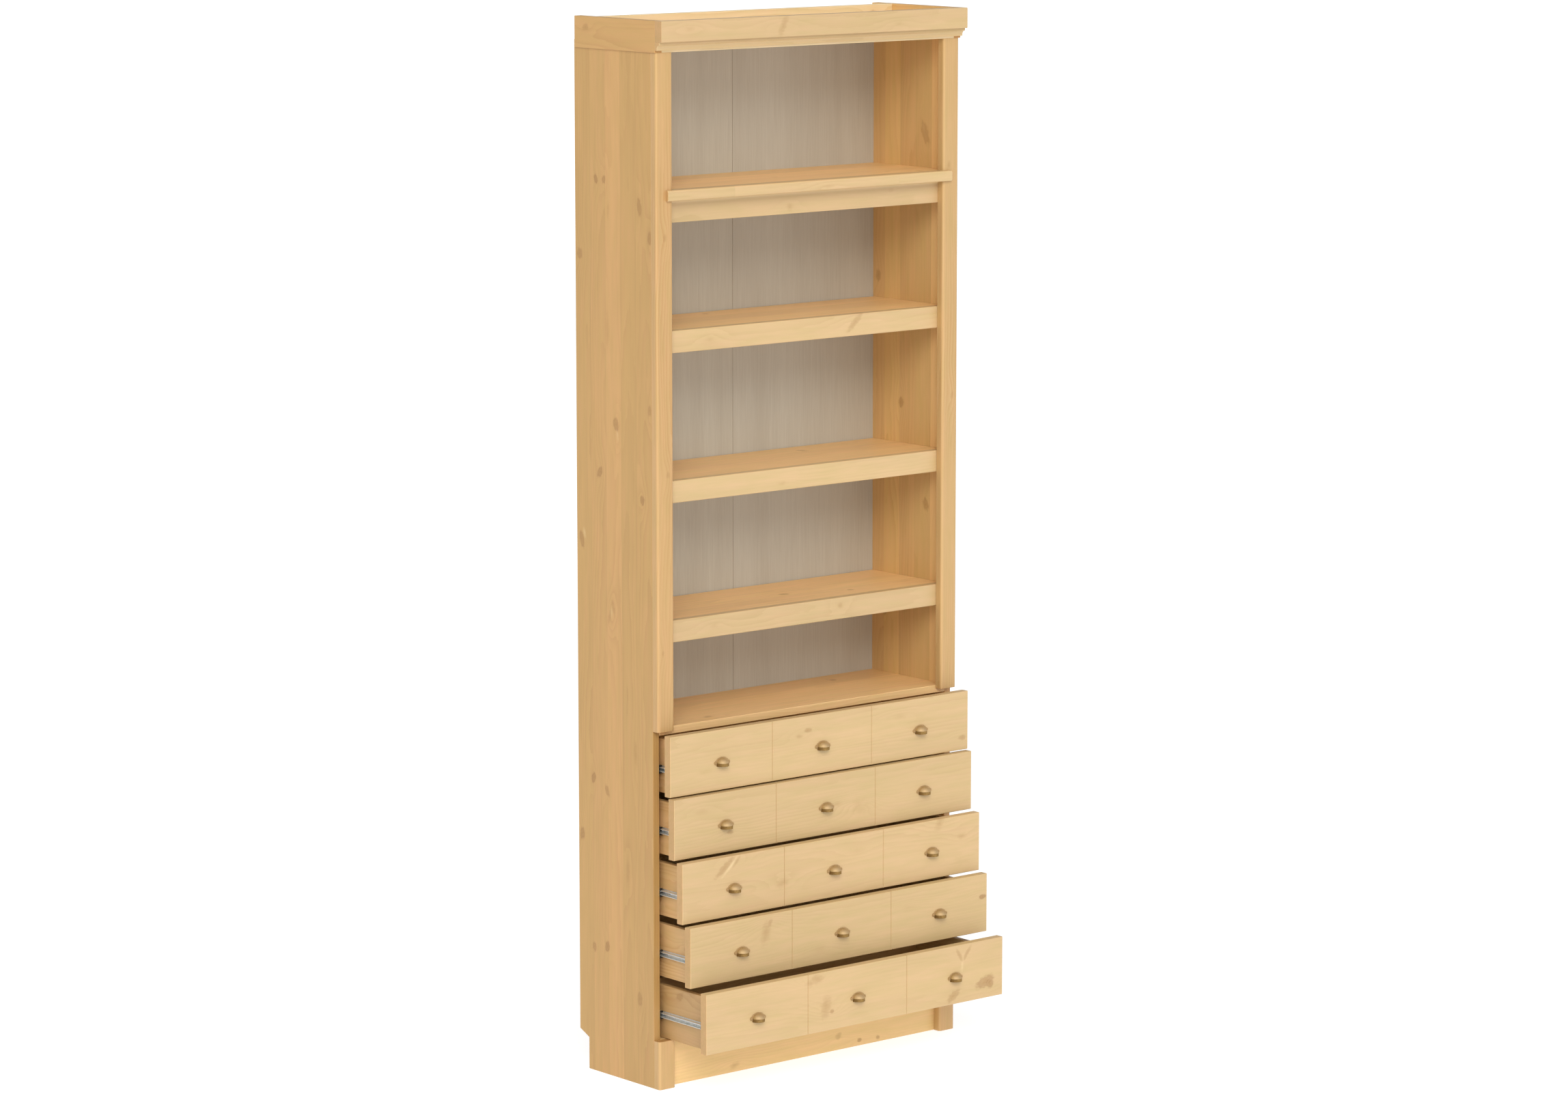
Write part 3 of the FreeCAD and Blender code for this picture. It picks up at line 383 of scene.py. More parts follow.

# %% [markdown]
# ## Laying the grain on a board
#
# The two groups want a place in millimetres, measured from the board's middle, with x along the grain
# and y across the board's face. One Mapping node does that: it turns the object's axes, scales metres
# to millimetres and moves the board's middle to the origin. The table gives the turn for each way a
# board can lie, named by the direction of its grain and of its width.
#
# A knot is written as (along, across, half length, half width, turn in degrees, depth): a depth near
# 1 is a dark round knot, 0.3 to 0.5 a paler one cut lengthwise, and a negative one a pale streak.
# Other boards get a few small ones from a generator that is seeded with the board's name. The tones
# differ as the boards of one bookcase do: the left stile is of slightly darker wood than the right one,
# and the boxes of the drawers are of plainer wood. Some tones carry painted light and shade: the plinth,
# the shelves and fixed boards, and the rails of the cornice's tray are painted lighter than their wood
# as a painted fill light, and the boxes of the top two drawers are painted lighter and that of the
# lowest darker, to even out how the lamps reach them.

# %% The pine material of one board
GRAIN_TURNS = {
    "ZY": (0, 90, 0),       # upright, wide from front to rear
    "ZX": (90, 0, 90),      # upright, wide from side to side
    "XZ": (-90, 0, 0),      # lying, with its face to the front
    "XY": (0, 0, 0),        # lying flat
    "YZ": (90, 90, 0),      # running back, with its face to the side
}
PINE_TONES = {              # early wood, late wood
    "front": ("C9AC7D", "C4A677"),
    "panel": ("C59B60", "BE9258"),
    "stile": ("C5A16D", "BD955F"),
    "left stile": ("BE9A66", "B68E59"),
    # the plinth's tone is painted lighter: a painted fill for the shade that the lowest drawer casts on it
    "plinth": ("E8C58A", "E2BE84"),
    # the boards' tone is painted lighter than their wood: a painted fill light for the shelves' tops in the
    # shaded bays
    "board": ("EDC68C", "E2B77C"),
    # painted paler and greyer than the wood: a painted fill that offsets the warm bounce light in the
    # cornice's tray
    "bare": ("ECD5A8", "E2C896"),
    # the drawer boxes' tones are painted lighter or darker to even out how the lamps reach them
    "pale drawer": ("DDB37B", "CFA168"),
    "drawer": ("CDA772", "C0955F"),
    "dark drawer": ("B89363", "AC8554"),
}
WIDE = 4000.0               # mm; a stave or length so long that the board has no joint
RING = 5.5                  # mm between the growth rings as drawn
PAINTED_GROOVE_FADE, GROOVE_PAINTED_SHADE = (0.6, 1.9), -0.2     # mm from a groove's middle where its painted shade fades, and how dark that painted shade is


def chance_knots(name, length, width, count):
    """A few small knots, the same at each run."""
    dice = random.Random(name)
    knots = []
    for _ in range(count):
        half = dice.uniform(3.5, 7.0)
        knots.append((dice.uniform(-0.45, 0.45) * length, dice.uniform(-0.42, 0.42) * width,
                      half * dice.uniform(1.1, 1.9), half, dice.uniform(-35, 35), dice.uniform(0.3, 0.7)))
    return knots


def middle_and_size(obj):
    """Middle and size of a finished piece, in metres."""
    corners = [Vector(c) for c in obj.bound_box]
    low = Vector(min(c[k] for c in corners) for k in range(3))
    high = Vector(max(c[k] for c in corners) for k in range(3))
    return (low + high) / 2, high - low


def pine(obj, grain, tone, knots=None, stave=WIDE, length=WIDE, shift=0.0, chance=2, variety=0.4,
         painted_fill_facing=(0, 0, 0), groove=None):
    """Gives one board its own cut of pine.

    the painted fill's vector points out of the face that is painted paler, standing in for light that
    hardly reaches it, and is as long as the share by which it is; groove is how far, in millimetres,
    the front's grooves lie from the middle, which get a painted shade.
    """
    turn = [math.radians(a) for a in GRAIN_TURNS[grain]]
    turning = Euler(turn, "XYZ").to_matrix()
    middle, size = middle_and_size(obj)
    laid_middle = turning @ middle / MM
    laid_size = turning @ size / MM
    if knots is None:
        knots = chance_knots(obj.name, abs(laid_size.x), abs(laid_size.y), chance)
    material, tree, shader, source = new_material("pine " + obj.name)
    laid = add_node(tree, "Mapping", None,
                    {"Vector": source["Object"], "Rotation": turn, "Scale": (1 / MM,) * 3,
                     "Location": (-laid_middle.x + shift, -laid_middle.y, -laid_middle.z)}).outputs[0]
    facing = add_node(tree, "Mapping", {"vector_type": "VECTOR"},
                      {"Vector": source["Normal"], "Rotation": turn}).outputs[0]
    so_far = {"Swell": 0.0, "Wood": 0.0, "Rim": 0.0, "Pale": 0.0}
    for along, across, half_length, half_width, degrees, depth in knots:
        knot = add_node(tree, "Group", {"node_tree": KNOT},
                        {"Place": laid, "Centre": (along + shift, across, 0), "Half length": half_length,
                         "Half width": half_width, "Turn": math.radians(-degrees), "Depth": depth,
                         **so_far})
        so_far = {name: knot.outputs[name] for name in so_far}
    # painted fill light: faces that point along the given vector are painted paler, as if more light reached
    # them
    painted_fill_amount = add_node(tree, "VectorMath", "DOT_PRODUCT", [source["Normal"], painted_fill_facing]).outputs["Value"]
    painted_light_and_shade = add_node(tree, "Math", "MAXIMUM", [painted_fill_amount, 0.0]).outputs[0]
    # on a front, a painted shade darkens the two grooves, in place of the painted fill
    if groove:
        along = add_node(tree, "SeparateXYZ", None, [laid]).outputs[0]
        outward = add_node(tree, "Math", "ABSOLUTE", [along]).outputs[0]
        off_groove = add_node(tree, "Math", "SUBTRACT", [outward, groove + shift]).outputs[0]
        nearness = add_node(tree, "Math", "ABSOLUTE", [off_groove]).outputs[0]
        painted_light_and_shade = add_node(tree, "MapRange", None,
                           [nearness, PAINTED_GROOVE_FADE[0], PAINTED_GROOVE_FADE[1], GROOVE_PAINTED_SHADE, 0.0]).outputs[0]
    early, late = PINE_TONES[tone]
    wood = add_node(tree, "Group", {"node_tree": PINE},
                    {"Place": laid, "Facing": facing, "Early wood": paint(early),
                     "Late wood": paint(late), "Stave": stave, "Length": length, "Ring": RING,
                     "Seed": random.Random(obj.name).uniform(0, 900), "Variety": variety,
                     "Lighten": painted_light_and_shade, **so_far}).outputs
    bump = add_node(tree, "Bump", None,
                    {"Height": wood["Height"], "Strength": 0.35, "Distance": 0.15 * MM}).outputs[0]
    # a thin coat gives the satin sheen of lacquer over the duller wood
    feed(shader, {"Base Color": wood["Colour"], "Roughness": wood["Roughness"], "Normal": bump,
                  "Coat Weight": 0.12, "Coat Roughness": 0.3})
    dress(obj, material)


print("tones of pine:", ", ".join(PINE_TONES))

# %% [markdown]
# ## Blocks with eased edges
#
# A joiner never leaves a sharp arris: it is broken with sandpaper to about a millimetre, and that soft
# edge is what catches the light. Every board here starts as a cube or as a few vertices that are
# extruded, and gets its edges from the bevel operator. Faces are shaded smooth, edges that are still
# steep are marked sharp, and a Weighted Normal modifier keeps the large faces flat, so only the eased
# edges look round. A piece of the left side is often the mirror image of the right one: scaling by -1
# turns a mesh inside out, so its normals are worked out again afterwards.

# %% Helpers for boards
STEEP = 50                  # degrees between two faces from which their edge looks sharp


def block(low, high):
    """A box between two corners, as a bmesh."""
    low, high = Vector(low), Vector(high)
    bm = bmesh.new()
    bmesh.ops.create_cube(bm, size=1.0)
    bmesh.ops.scale(bm, vec=high - low, verts=bm.verts)
    bmesh.ops.translate(bm, vec=(low + high) / 2, verts=bm.verts)
    return bm


def swept(outline, way):
    """A solid from a closed row of points, extruded along a vector."""
    bm = bmesh.new()
    face = bm.faces.new([bm.verts.new(p) for p in outline])
    out = bmesh.ops.extrude_face_region(bm, geom=[face], use_keep_orig=True)
    ends = [v for v in out["geom"] if isinstance(v, bmesh.types.BMVert)]
    bmesh.ops.translate(bm, vec=way, verts=ends)
    bmesh.ops.recalc_face_normals(bm, faces=bm.faces)
    return bm


def to_side(bm, flip):
    """Leaves a part of the right side where it is, or mirrors it to the left where flip is -1."""
    bmesh.ops.scale(bm, vec=(flip, 1, 1), verts=bm.verts)
    bmesh.ops.recalc_face_normals(bm, faces=bm.faces)


def push_faces(bm, faces, way):
    """Extrudes part of a surface; the faces it starts from would be left inside, so they go."""
    out = bmesh.ops.extrude_face_region(bm, geom=faces)
    moved = [v for v in out["geom"] if isinstance(v, bmesh.types.BMVert)]
    bmesh.ops.translate(bm, vec=way, verts=moved)
    bmesh.ops.delete(bm, geom=faces, context="FACES")


def round_edges(bm, axis, radius, segments, **places):
    """Rounds the edges along one axis whose middles lie at the given x, y or z."""
    chosen = []
    for edge in bm.edges:
        a, b = (v.co for v in edge.verts)
        way = b - a
        middle = (a + b) / 2
        along = abs(way["xyz".index(axis)]) > 0.99 * way.length
        if along and all(abs(middle["xyz".index(k)] - v) < 1e-6 for k, v in places.items()):
            chosen.append(edge)
    bmesh.ops.bevel(bm, geom=chosen, offset=radius, offset_type="OFFSET", affect="EDGES",
                    segments=segments, profile=0.5, material=-1)


def ease(bm, radius, segments=2, sharper_than=40):
    """Breaks every edge that is still sharp."""
    sharp = [e for e in bm.edges if len(e.link_faces) == 2
             and e.calc_face_angle() > math.radians(sharper_than)]
    bmesh.ops.bevel(bm, geom=sharp, offset=radius, offset_type="OFFSET", affect="EDGES",
                    segments=segments, profile=0.5, material=-1)


def finish_piece(bm, name, body, nodes):
    """Makes an object of a bmesh, which rides on a body and stands for nodes of the frame."""
    loose = sum(len(e.link_faces) != 2 for e in bm.edges)
    for edge in bm.edges:
        edge.smooth = len(edge.link_faces) == 2 and edge.calc_face_angle() < math.radians(STEEP)
    mesh = bpy.data.meshes.new(name)
    bm.to_mesh(mesh)
    bm.free()
    mesh.shade_smooth()
    obj = bpy.data.objects.new(name, mesh)
    scene.collection.objects.link(obj)
    flat = obj.modifiers.new("flat faces", "WEIGHTED_NORMAL")
    flat.keep_sharp = True
    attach(obj, body)
    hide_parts(*nodes)
    size = middle_and_size(obj)[1] / MM
    print("%s: %.1f x %.1f x %.1f mm, %d faces, %d open edges" % (name, *size, len(mesh.polygons), loose))
    return obj


ARRIS = 1.0 * MM            # how far a joiner breaks an edge
SOFT_ARRIS, END_ARRIS, GLUED_ARRIS = 0.8 * MM, 0.5 * MM, 0.3 * MM   # mouldings, ends, glued joints


def eased_board(node, name):
    """The board of one node of the carcass with its edges broken."""
    bm = block(*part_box(node))
    ease(bm, ARRIS)
    return finish_piece(bm, name, "carcass", [node])


print("an eased edge is %.1f mm wide" % (ARRIS / MM))

# %% [markdown]
# ## Side panels
#
# The sides are edge-glued panels: staves about 50 mm wide run from the floor to the cornice, and each
# has its own tone. At the rear foot a notch clears the room's skirting. The panel is drawn from its
# outline as seen from the side and extruded by its thickness, because a cube has no notch.

# %% Side panels
NOTCH_DEPTH, NOTCH_HEIGHT, NOTCH_RISE = 30 * MM, 66 * MM, 14 * MM
PANEL_STAVE, PANEL_VARIETY = 49.0, 1.5  # mm, and how much the staves' tones differ
PANEL_PAINTED_FILL = 0.24        # how much paler the inner face is painted: a painted fill light
LEFT_KNOTS = [              # (along, across) from the panel's middle, then sizes, turn and depth
    (781, 54, 9, 5, 10, 0.9), (782, 28, 8, 5, -12, 0.8), (734, -86, 16, 6, 12, 0.75),
    (674, -118, 11, 6, 0, 0.8), (628, 108, 10, 7, 0, 0.75), (292, -8, 12, 8, 20, 0.75),
    (270, -12, 11, 3, 8, -0.5), (191, 45, 11, 6, -30, 0.8), (147, -92, 9, 6, 0, 0.85),
    (330, -117, 9, 5, 0, 0.6), (46, 106, 15, 6, 10, 0.8), (60, 98, 12, 4, 14, -0.6),
    (-84, 4, 14, 4, 14, 0.45), (-104, 17, 14, 4, -14, 0.45), (-94, 10, 12, 4, 0, -0.4),
    (-443, 72, 10, 6, -20, 0.9), (-463, 27, 11, 5, 20, 0.7), (-565, 110, 11, 7, 0, 0.85),
    (-797, 72, 10, 5, 8, 0.75), (-788, 29, 10, 6, -8, 0.9), (-879, -77, 12, 7, 0, 0.7),
    (-376, -66, 26, 5, 0, 0.4), (-620, -40, 30, 6, 0, 0.3), (480, 20, 34, 7, 0, 0.25),
]
RIGHT_KNOTS = [
    (842, -53, 24, 9, 22, 0.6), (848, -50, 16, 4, 24, -0.4), (533, 94, 11, 7, 0, 0.6),
    (270, 20, 10, 7, 0, 0.7), (60, -60, 12, 7, 15, 0.7), (-180, 70, 9, 6, 0, 0.7),
    (-420, -30, 11, 6, 0, 0.7), (-700, 50, 10, 7, 0, 0.7), (-930, -70, 11, 7, -20, 0.7),
]
for side, knots in (("left", LEFT_KNOTS), ("right", RIGHT_KNOTS)):
    low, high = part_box("side_panel_" + side)
    outline = [
        (low.x, low.y, low.z),
        (low.x, high.y - NOTCH_DEPTH, low.z),
        (low.x, high.y - NOTCH_DEPTH, low.z + NOTCH_HEIGHT),
        (low.x, high.y, low.z + NOTCH_HEIGHT + NOTCH_RISE),
        (low.x, high.y, high.z),
        (low.x, low.y, high.z),
    ]
    panel = swept(outline, (high.x - low.x, 0, 0))
    ease(panel, ARRIS)
    obj = finish_piece(panel, side + "_side", "carcass", ["side_panel_" + side])
    pine(obj, "ZY", "panel", knots, stave=PANEL_STAVE, variety=PANEL_VARIETY,
         painted_fill_facing=(PANEL_PAINTED_FILL if side == "left" else -PANEL_PAINTED_FILL, 0, 0))

# %% [markdown]
# ## Face frame
#
# Stiles and base posts are one section of solid wood, 42 by 18 mm. Their two front edges are rounded
# to 6 mm, and the light runs down them as a bright line. The small arrises at the ends come after.

# %% Stiles and base posts
STILE_ROUND = 6 * MM
STILE_KNOTS = {
    "stile_left": [(315, 0, 8, 4, 10, 0.45), (-160, 6, 7, 4, 0, 0.4), (-520, -8, 6, 3, 0, 0.4)],
    "stile_right": [(420, -6, 7, 4, 0, 0.4), (-60, 5, 8, 4, 10, 0.4)],
    "base_post_left": [],
    "base_post_right": [],
}
for node, knots in STILE_KNOTS.items():
    low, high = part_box(node)
    post = block(low, high)
    round_edges(post, "z", STILE_ROUND, 8, y=low.y)
    ease(post, END_ARRIS)
    obj = finish_piece(post, node.replace("stile", "face_stile").replace("base_post", "face_post"),
                       "carcass", [node])
    pine(obj, "ZX", "left stile" if node == "stile_left" else "stile", knots)

# %% [markdown]
# ## Fixed boards and loose shelves
#
# The fixed boards are plain panels. A loose shelf is two pieces of wood: a board 18 mm thick and a
# lipping 45 mm deep that is glued along its front, which stiffens the shelf and makes it look heavy.
# They are separate pieces here, so that each has its own figure.

# %% Fixed boards
FIXED_BOARDS = {
    "top_panel": ("top_board", "XY", 3), "mid_shelf": ("fixed_shelf", "XY", 3),
    "deck_panel": ("deck_board", "XY", 3), "bottom_panel": ("floor_board", "XY", 2),
    "back_batten": ("back_strip", "ZX", 3),
    "cornice_front_rail": ("hidden_cornice_rail", "XZ", 2),
    "cornice_back_rail": ("tray_rail", "XZ", 2),
}
BOARD_STAVE = 76.0          # mm
for node, (name, grain, count) in FIXED_BOARDS.items():
    obj = eased_board(node, name)
    single = "rail" in name or "strip" in name
    pine(obj, grain, "bare" if single else "board", stave=WIDE if single else BOARD_STAVE, chance=count)
KNOTTED_RAILS = {
    "plinth_board": ("plinth", [(92, -20, 8, 6, 0, 0.5), (150, -38, 5, 4, 0, 0.8), (200, -40, 5, 4, 0, 0.7),
                                (-188, -36, 12, 6, 20, 0.4)]),
    "mid_rail": ("rail_under_shelf", [(-41, -12, 9, 7, 0, 0.35), (230, 8, 8, 4, 0, 0.2)]),
}
for node, (name, knots) in KNOTTED_RAILS.items():
    obj = eased_board(node, name)
    pine(obj, "XZ", "plinth" if name == "plinth" else "front", knots)

# %% Loose shelves
LIPPING_DEPTH, SHELF_THICKNESS, LIPPING_ROUND = 18 * MM, 18 * MM, 2 * MM
SHELF_STAVE = 70.0          # mm
LIPPING_KNOTS = {
    "shelf_upper": [(134, 6, 26, 6, 42, 0.5), (-250, 0, 9, 5, 0, 0.15)],
    "shelf_middle": [(-60, -8, 12, 4, 0, 0.2)],
    "shelf_lower": [(95, 6, 6, 6, 0, 0.4), (-240, 2, 9, 5, 0, 0.15)],
}
for node, knots in LIPPING_KNOTS.items():
    low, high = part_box(node)
    lipping = block(low, (high.x, low.y + LIPPING_DEPTH, high.z))
    round_edges(lipping, "x", LIPPING_ROUND, 4, y=low.y)
    ease(lipping, GLUED_ARRIS)
    obj = finish_piece(lipping, node + "_lipping", "carcass", [node])
    pine(obj, "XZ", "front", knots)
    board = block((low.x, low.y + LIPPING_DEPTH, high.z - SHELF_THICKNESS), high)
    ease(board, GLUED_ARRIS)
    obj = finish_piece(board, node + "_board", "carcass", [node])
    pine(obj, "XY", "board", stave=SHELF_STAVE)

# %% [markdown]
# ## The moulding in front of the middle shelf
#
# A half-round nose laps over both stiles, and a small cove eases it into the rail below. Mouldings are
# often milled from finger-jointed stock, and here the joints show as places where the tone jumps. The
# cove is an arc, so its outline starts as one vertex that the spin operator turns about the arc's
# centre; the rest of the outline is added, filled and extruded.

# %% Nose and cove
COVE_STEPS = 8


def coved_bar(start, centre, degrees, others, way):
    """A bar whose outline, seen along x, is an arc from start about centre, then other points."""
    bm = bmesh.new()
    first = bm.verts.new(start)
    out = bmesh.ops.spin(bm, geom=[first], cent=centre, axis=(1, 0, 0), angle=math.radians(degrees),
                         steps=COVE_STEPS, use_duplicate=False)
    last = next(v for v in out["geom_last"] if isinstance(v, bmesh.types.BMVert))
    previous = last
    for point in others:
        vertex = bm.verts.new(point)
        bm.edges.new((previous, vertex))
        previous = vertex
    bm.edges.new((previous, first))
    bmesh.ops.contextual_create(bm, geom=bm.edges[:])
    out = bmesh.ops.extrude_face_region(bm, geom=bm.faces[:], use_keep_orig=True)
    ends = [v for v in out["geom"] if isinstance(v, bmesh.types.BMVert)]
    bmesh.ops.translate(bm, vec=way, verts=ends)
    bmesh.ops.recalc_face_normals(bm, faces=bm.faces)
    return bm


NOSE_PROUD, NOSE_HEIGHT, NOSE_ROUND, COVE = 8 * MM, 22 * MM, 5 * MM, 8 * MM
NOSE_LAP = 18 * MM          # by which the nose runs out over each stile
JOINT_PITCH, JOINT_PLACE = 436.0, -230.0    # mm between finger joints, and one joint from the middle
low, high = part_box("mid_moulding")
nose = block((low.x, low.y, high.z - NOSE_HEIGHT), (high.x, low.y + NOSE_PROUD, high.z))
round_edges(nose, "x", NOSE_ROUND, 8, y=low.y)
ease(nose, SOFT_ARRIS)
obj = finish_piece(nose, "shelf_nose", "carcass", ["mid_moulding"])
pine(obj, "XZ", "front", [(40, -3, 14, 3, 0, 0.25)], length=JOINT_PITCH,
     shift=JOINT_PLACE + JOINT_PITCH * 0.5)

foot = high.z - NOSE_HEIGHT
left, right = low.x + NOSE_LAP, high.x - NOSE_LAP
nose_back = low.y + NOSE_PROUD
cove = coved_bar((left, high.y, foot - COVE), (left, high.y - COVE, foot - COVE), 90,
                 [(left, nose_back, foot), (left, nose_back, high.z), (left, high.y, high.z)],
                 (right - left, 0, 0))
obj = finish_piece(cove, "shelf_cove", "carcass", ["mid_moulding"])
pine(obj, "XZ", "front", [])

# %% [markdown]
# ## Cornice
#
# The cornice is an open tray that stands on the carcass: a fascia in front, a stepped and coved
# moulding under it, two side boards that are rebated over the side panels, and rails between them. The
# side board is built in two layers: a thin full one outside, and an inner one that leaves out the
# rebate. The inner layer is extruded from part of the outer one's face, so it stays one closed shape.

# %% Cornice
FASCIA_ROUND = 1.5 * MM
low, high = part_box("cornice_fascia")
fascia = block(low, high)
round_edges(fascia, "x", FASCIA_ROUND, 4, y=low.y)
ease(fascia, END_ARRIS)
obj = finish_piece(fascia, "fascia", "carcass", ["cornice_fascia"])
pine(obj, "XZ", "front", [(-91, 2, 22, 7, 62, 0.42), (215, -6, 10, 4, 0, 0.15), (-330, 4, 12, 5, 0, 0.15)])

STEP_BACK, STEP_HEIGHT, BED_COVE = 8 * MM, 5.5 * MM, 8 * MM
fascia_face = low.y
low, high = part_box("cornice_bed_moulding")
step_face = fascia_face + STEP_BACK
step_foot = high.z - STEP_HEIGHT
bed = coved_bar((low.x, step_face, step_foot), (low.x, step_face, step_foot - BED_COVE), -90,
                [(low.x, step_face + BED_COVE, low.z), (low.x, high.y, low.z), (low.x, high.y, high.z),
                 (low.x, step_face, high.z)], (high.x - low.x, 0, 0))
obj = finish_piece(bed, "bed_moulding", "carcass", ["cornice_bed_moulding"])
pine(obj, "XZ", "front", [])

# the second number is how much paler the tray's inner faces are painted: a painted fill light
PROUD_OF_SIDE, TRAY_PAINTED_FILL = 3 * MM, 0.4
SIDE_BOARD_KNOTS = {"left": [(92, -10, 9, 6, 20, 0.55)], "right": [(-40, 5, 8, 5, 0, 0.4)]}
panel_low, panel_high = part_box("side_panel_right")
low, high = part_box("cornice_side_right")
for side, flip in (("left", -1), ("right", 1)):
    skin = block((high.x - PROUD_OF_SIDE, low.y, low.z), high)
    for level, way in (((0, panel_low.y, 0), (0, 1, 0)), ((0, 0, panel_high.z), (0, 0, 1))):
        bmesh.ops.bisect_plane(skin, geom=skin.verts[:] + skin.edges[:] + skin.faces[:],
                               plane_co=level, plane_no=way)
    skin.faces.ensure_lookup_table()
    inner = [f for f in skin.faces if f.normal.x < -0.9]
    body = [f for f in inner if f.calc_center_median().y < panel_low.y
            or f.calc_center_median().z > panel_high.z]
    push_faces(skin, body, (low.x - (high.x - PROUD_OF_SIDE), 0, 0))
    ease(skin, SOFT_ARRIS)
    to_side(skin, flip)
    obj = finish_piece(skin, "cornice_board_" + side, "carcass", ["cornice_side_" + side])
    pine(obj, "YZ", "panel", SIDE_BOARD_KNOTS[side], painted_fill_facing=(-TRAY_PAINTED_FILL * flip, 0, 0))

# %% [markdown]
# ## The drawers
#
# A drawer is a box of four boards and a thin bottom behind a wide front. The fronts come from the
# frame as they are: two V grooves already divide each into three, and their rims are rounded. The
# sides and the back are plain boards of solid wood, so they are drawn from the front's box with the
# drawer's own measures. The insides of the boxes are painted paler, a painted fill light where little
# light reaches, and the boxes of the top two drawers are painted lighter and that of the lowest darker,
# to even out how the lamps reach them.

# %% Drawer fronts and boxes
BOX_HALF, BOX_WALL, BOX_LENGTH = 371 * MM, 12 * MM, 222 * MM
BOX_FOOT, BOX_HEIGHT, BOTTOM_LEVEL = -2 * MM, 110 * MM, 12 * MM
BOX_ARRIS, BOX_PAINTED_FILL = 1.2 * MM, 0.5  # the rounding of its edges; how much paler it is painted inside: a painted fill light
FRONT_KNOTS = {
    1: [(-39, 32, 9, 4, 0, 0.6), (-62, 22, 8, 4, 0, 0.4), (384, -36, 9, 5, 0, 0.55),
        (-310, -20, 18, 6, 0, 0.15), (210, 30, 16, 6, 0, 0.15)],
    2: [(92, -14, 20, 15, 0, 0.22), (98, -12, 10, 6, 30, -0.3), (-255, -22, 7, 4, 0, 0.6),
        (30, -2, 13, 5, 0, 0.25), (-330, 30, 16, 6, 0, 0.15)],
    3: [(-292, 40, 26, 6, 38, 0.55), (-275, 42, 26, 3.5, 42, -0.9), (-260, 50, 13, 4, 50, 0.4),
        (-139, -12, 16, 9, 10, 0.35), (289, 55, 18, 9, 60, 0.35), (351, 18, 11, 6, 0, 0.35),
        (60, 25, 22, 6, 0, 0.12)],
    4: [(-204, 24, 22, 11, 78, 0.42), (-193, 44, 8, 5, 60, 0.5), (388, 14, 8, 4.5, 0, 0.95),
        (-60, -30, 18, 6, 0, 0.15), (180, 20, 16, 6, 0, 0.12)],
    5: [(-110, 50, 17, 9, 0, 0.45), (-128, 44, 10, 7, 0, 0.35), (-86, -12, 22, 12, 80, 0.45),
        (-70, -24, 5, 4, 0, 0.7), (279, 40, 16, 4, 122, 0.5), (300, 42, 16, 4, 52, 0.5),
        (287, 20, 16, 4, 84, -0.6), (350, -27, 22, 10, 18, 0.75), (364, -32, 10, 9, 30, 0.8),
        (262, -44, 18, 8, 35, 0.6)],
}
# the top two boxes are painted lighter and the lowest darker: painted light and shade
BOX_TONES = {1: "pale drawer", 2: "pale drawer", 5: "dark drawer"}
for number, knots in FRONT_KNOTS.items():
    body = "drawer_%d" % number
    box_tone = BOX_TONES.get(number, "drawer")
    front = frame["nodes"][body + "_front"]
    low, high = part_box(body + "_front")
    pine(front, "XZ", "front", knots, groove=(high.x - low.x) / 6 / MM)
    rear = high.y + BOX_LENGTH
    foot = low.z + BOX_FOOT
    for side, flip in (("left", -1), ("right", 1)):
        xs = sorted((flip * BOX_HALF, flip * (BOX_HALF - BOX_WALL)))
        wall = block((xs[0], high.y, foot), (xs[1], rear, foot + BOX_HEIGHT))
        ease(wall, BOX_ARRIS, 3)
        obj = finish_piece(wall, body + "_side_" + side, body, [body + "_box"])
        pine(obj, "YZ", box_tone, chance=3, painted_fill_facing=(-BOX_PAINTED_FILL * flip, 0, 0))
    inner = BOX_HALF - BOX_WALL
    wall = block((-inner, rear - BOX_WALL, foot + BOTTOM_LEVEL), (inner, rear, foot + BOX_HEIGHT))
    ease(wall, BOX_ARRIS, 3)
    obj = finish_piece(wall, body + "_back", body, [body + "_box"])
    pine(obj, "XZ", box_tone, painted_fill_facing=(0, -BOX_PAINTED_FILL, 0))

# %% [markdown]
# ## Back boards and drawer bottoms
#
# The back is thin fibreboard with a printed, grey-beige wood figure on the side that shows: fine
# upright grain with soft, broad bands. Its rear is the bare board, brown and faintly fibrous. The
# drawer bottoms are the same kind of board with a pale face. A print has no depth, so these need only
# noise that is long one way and narrow the other, and almost no bump.

# %% Printed fibreboard
FINE_GRAIN = (90, 1.6)      # mm along the printed grain and across it
BROAD_BANDS = (1200, 55)
FELT_SCALE, CLOUD_SCALE = 420.0, 11.0   # per metre: clumps of fibre 2.4 mm wide, clouds 90 mm wide


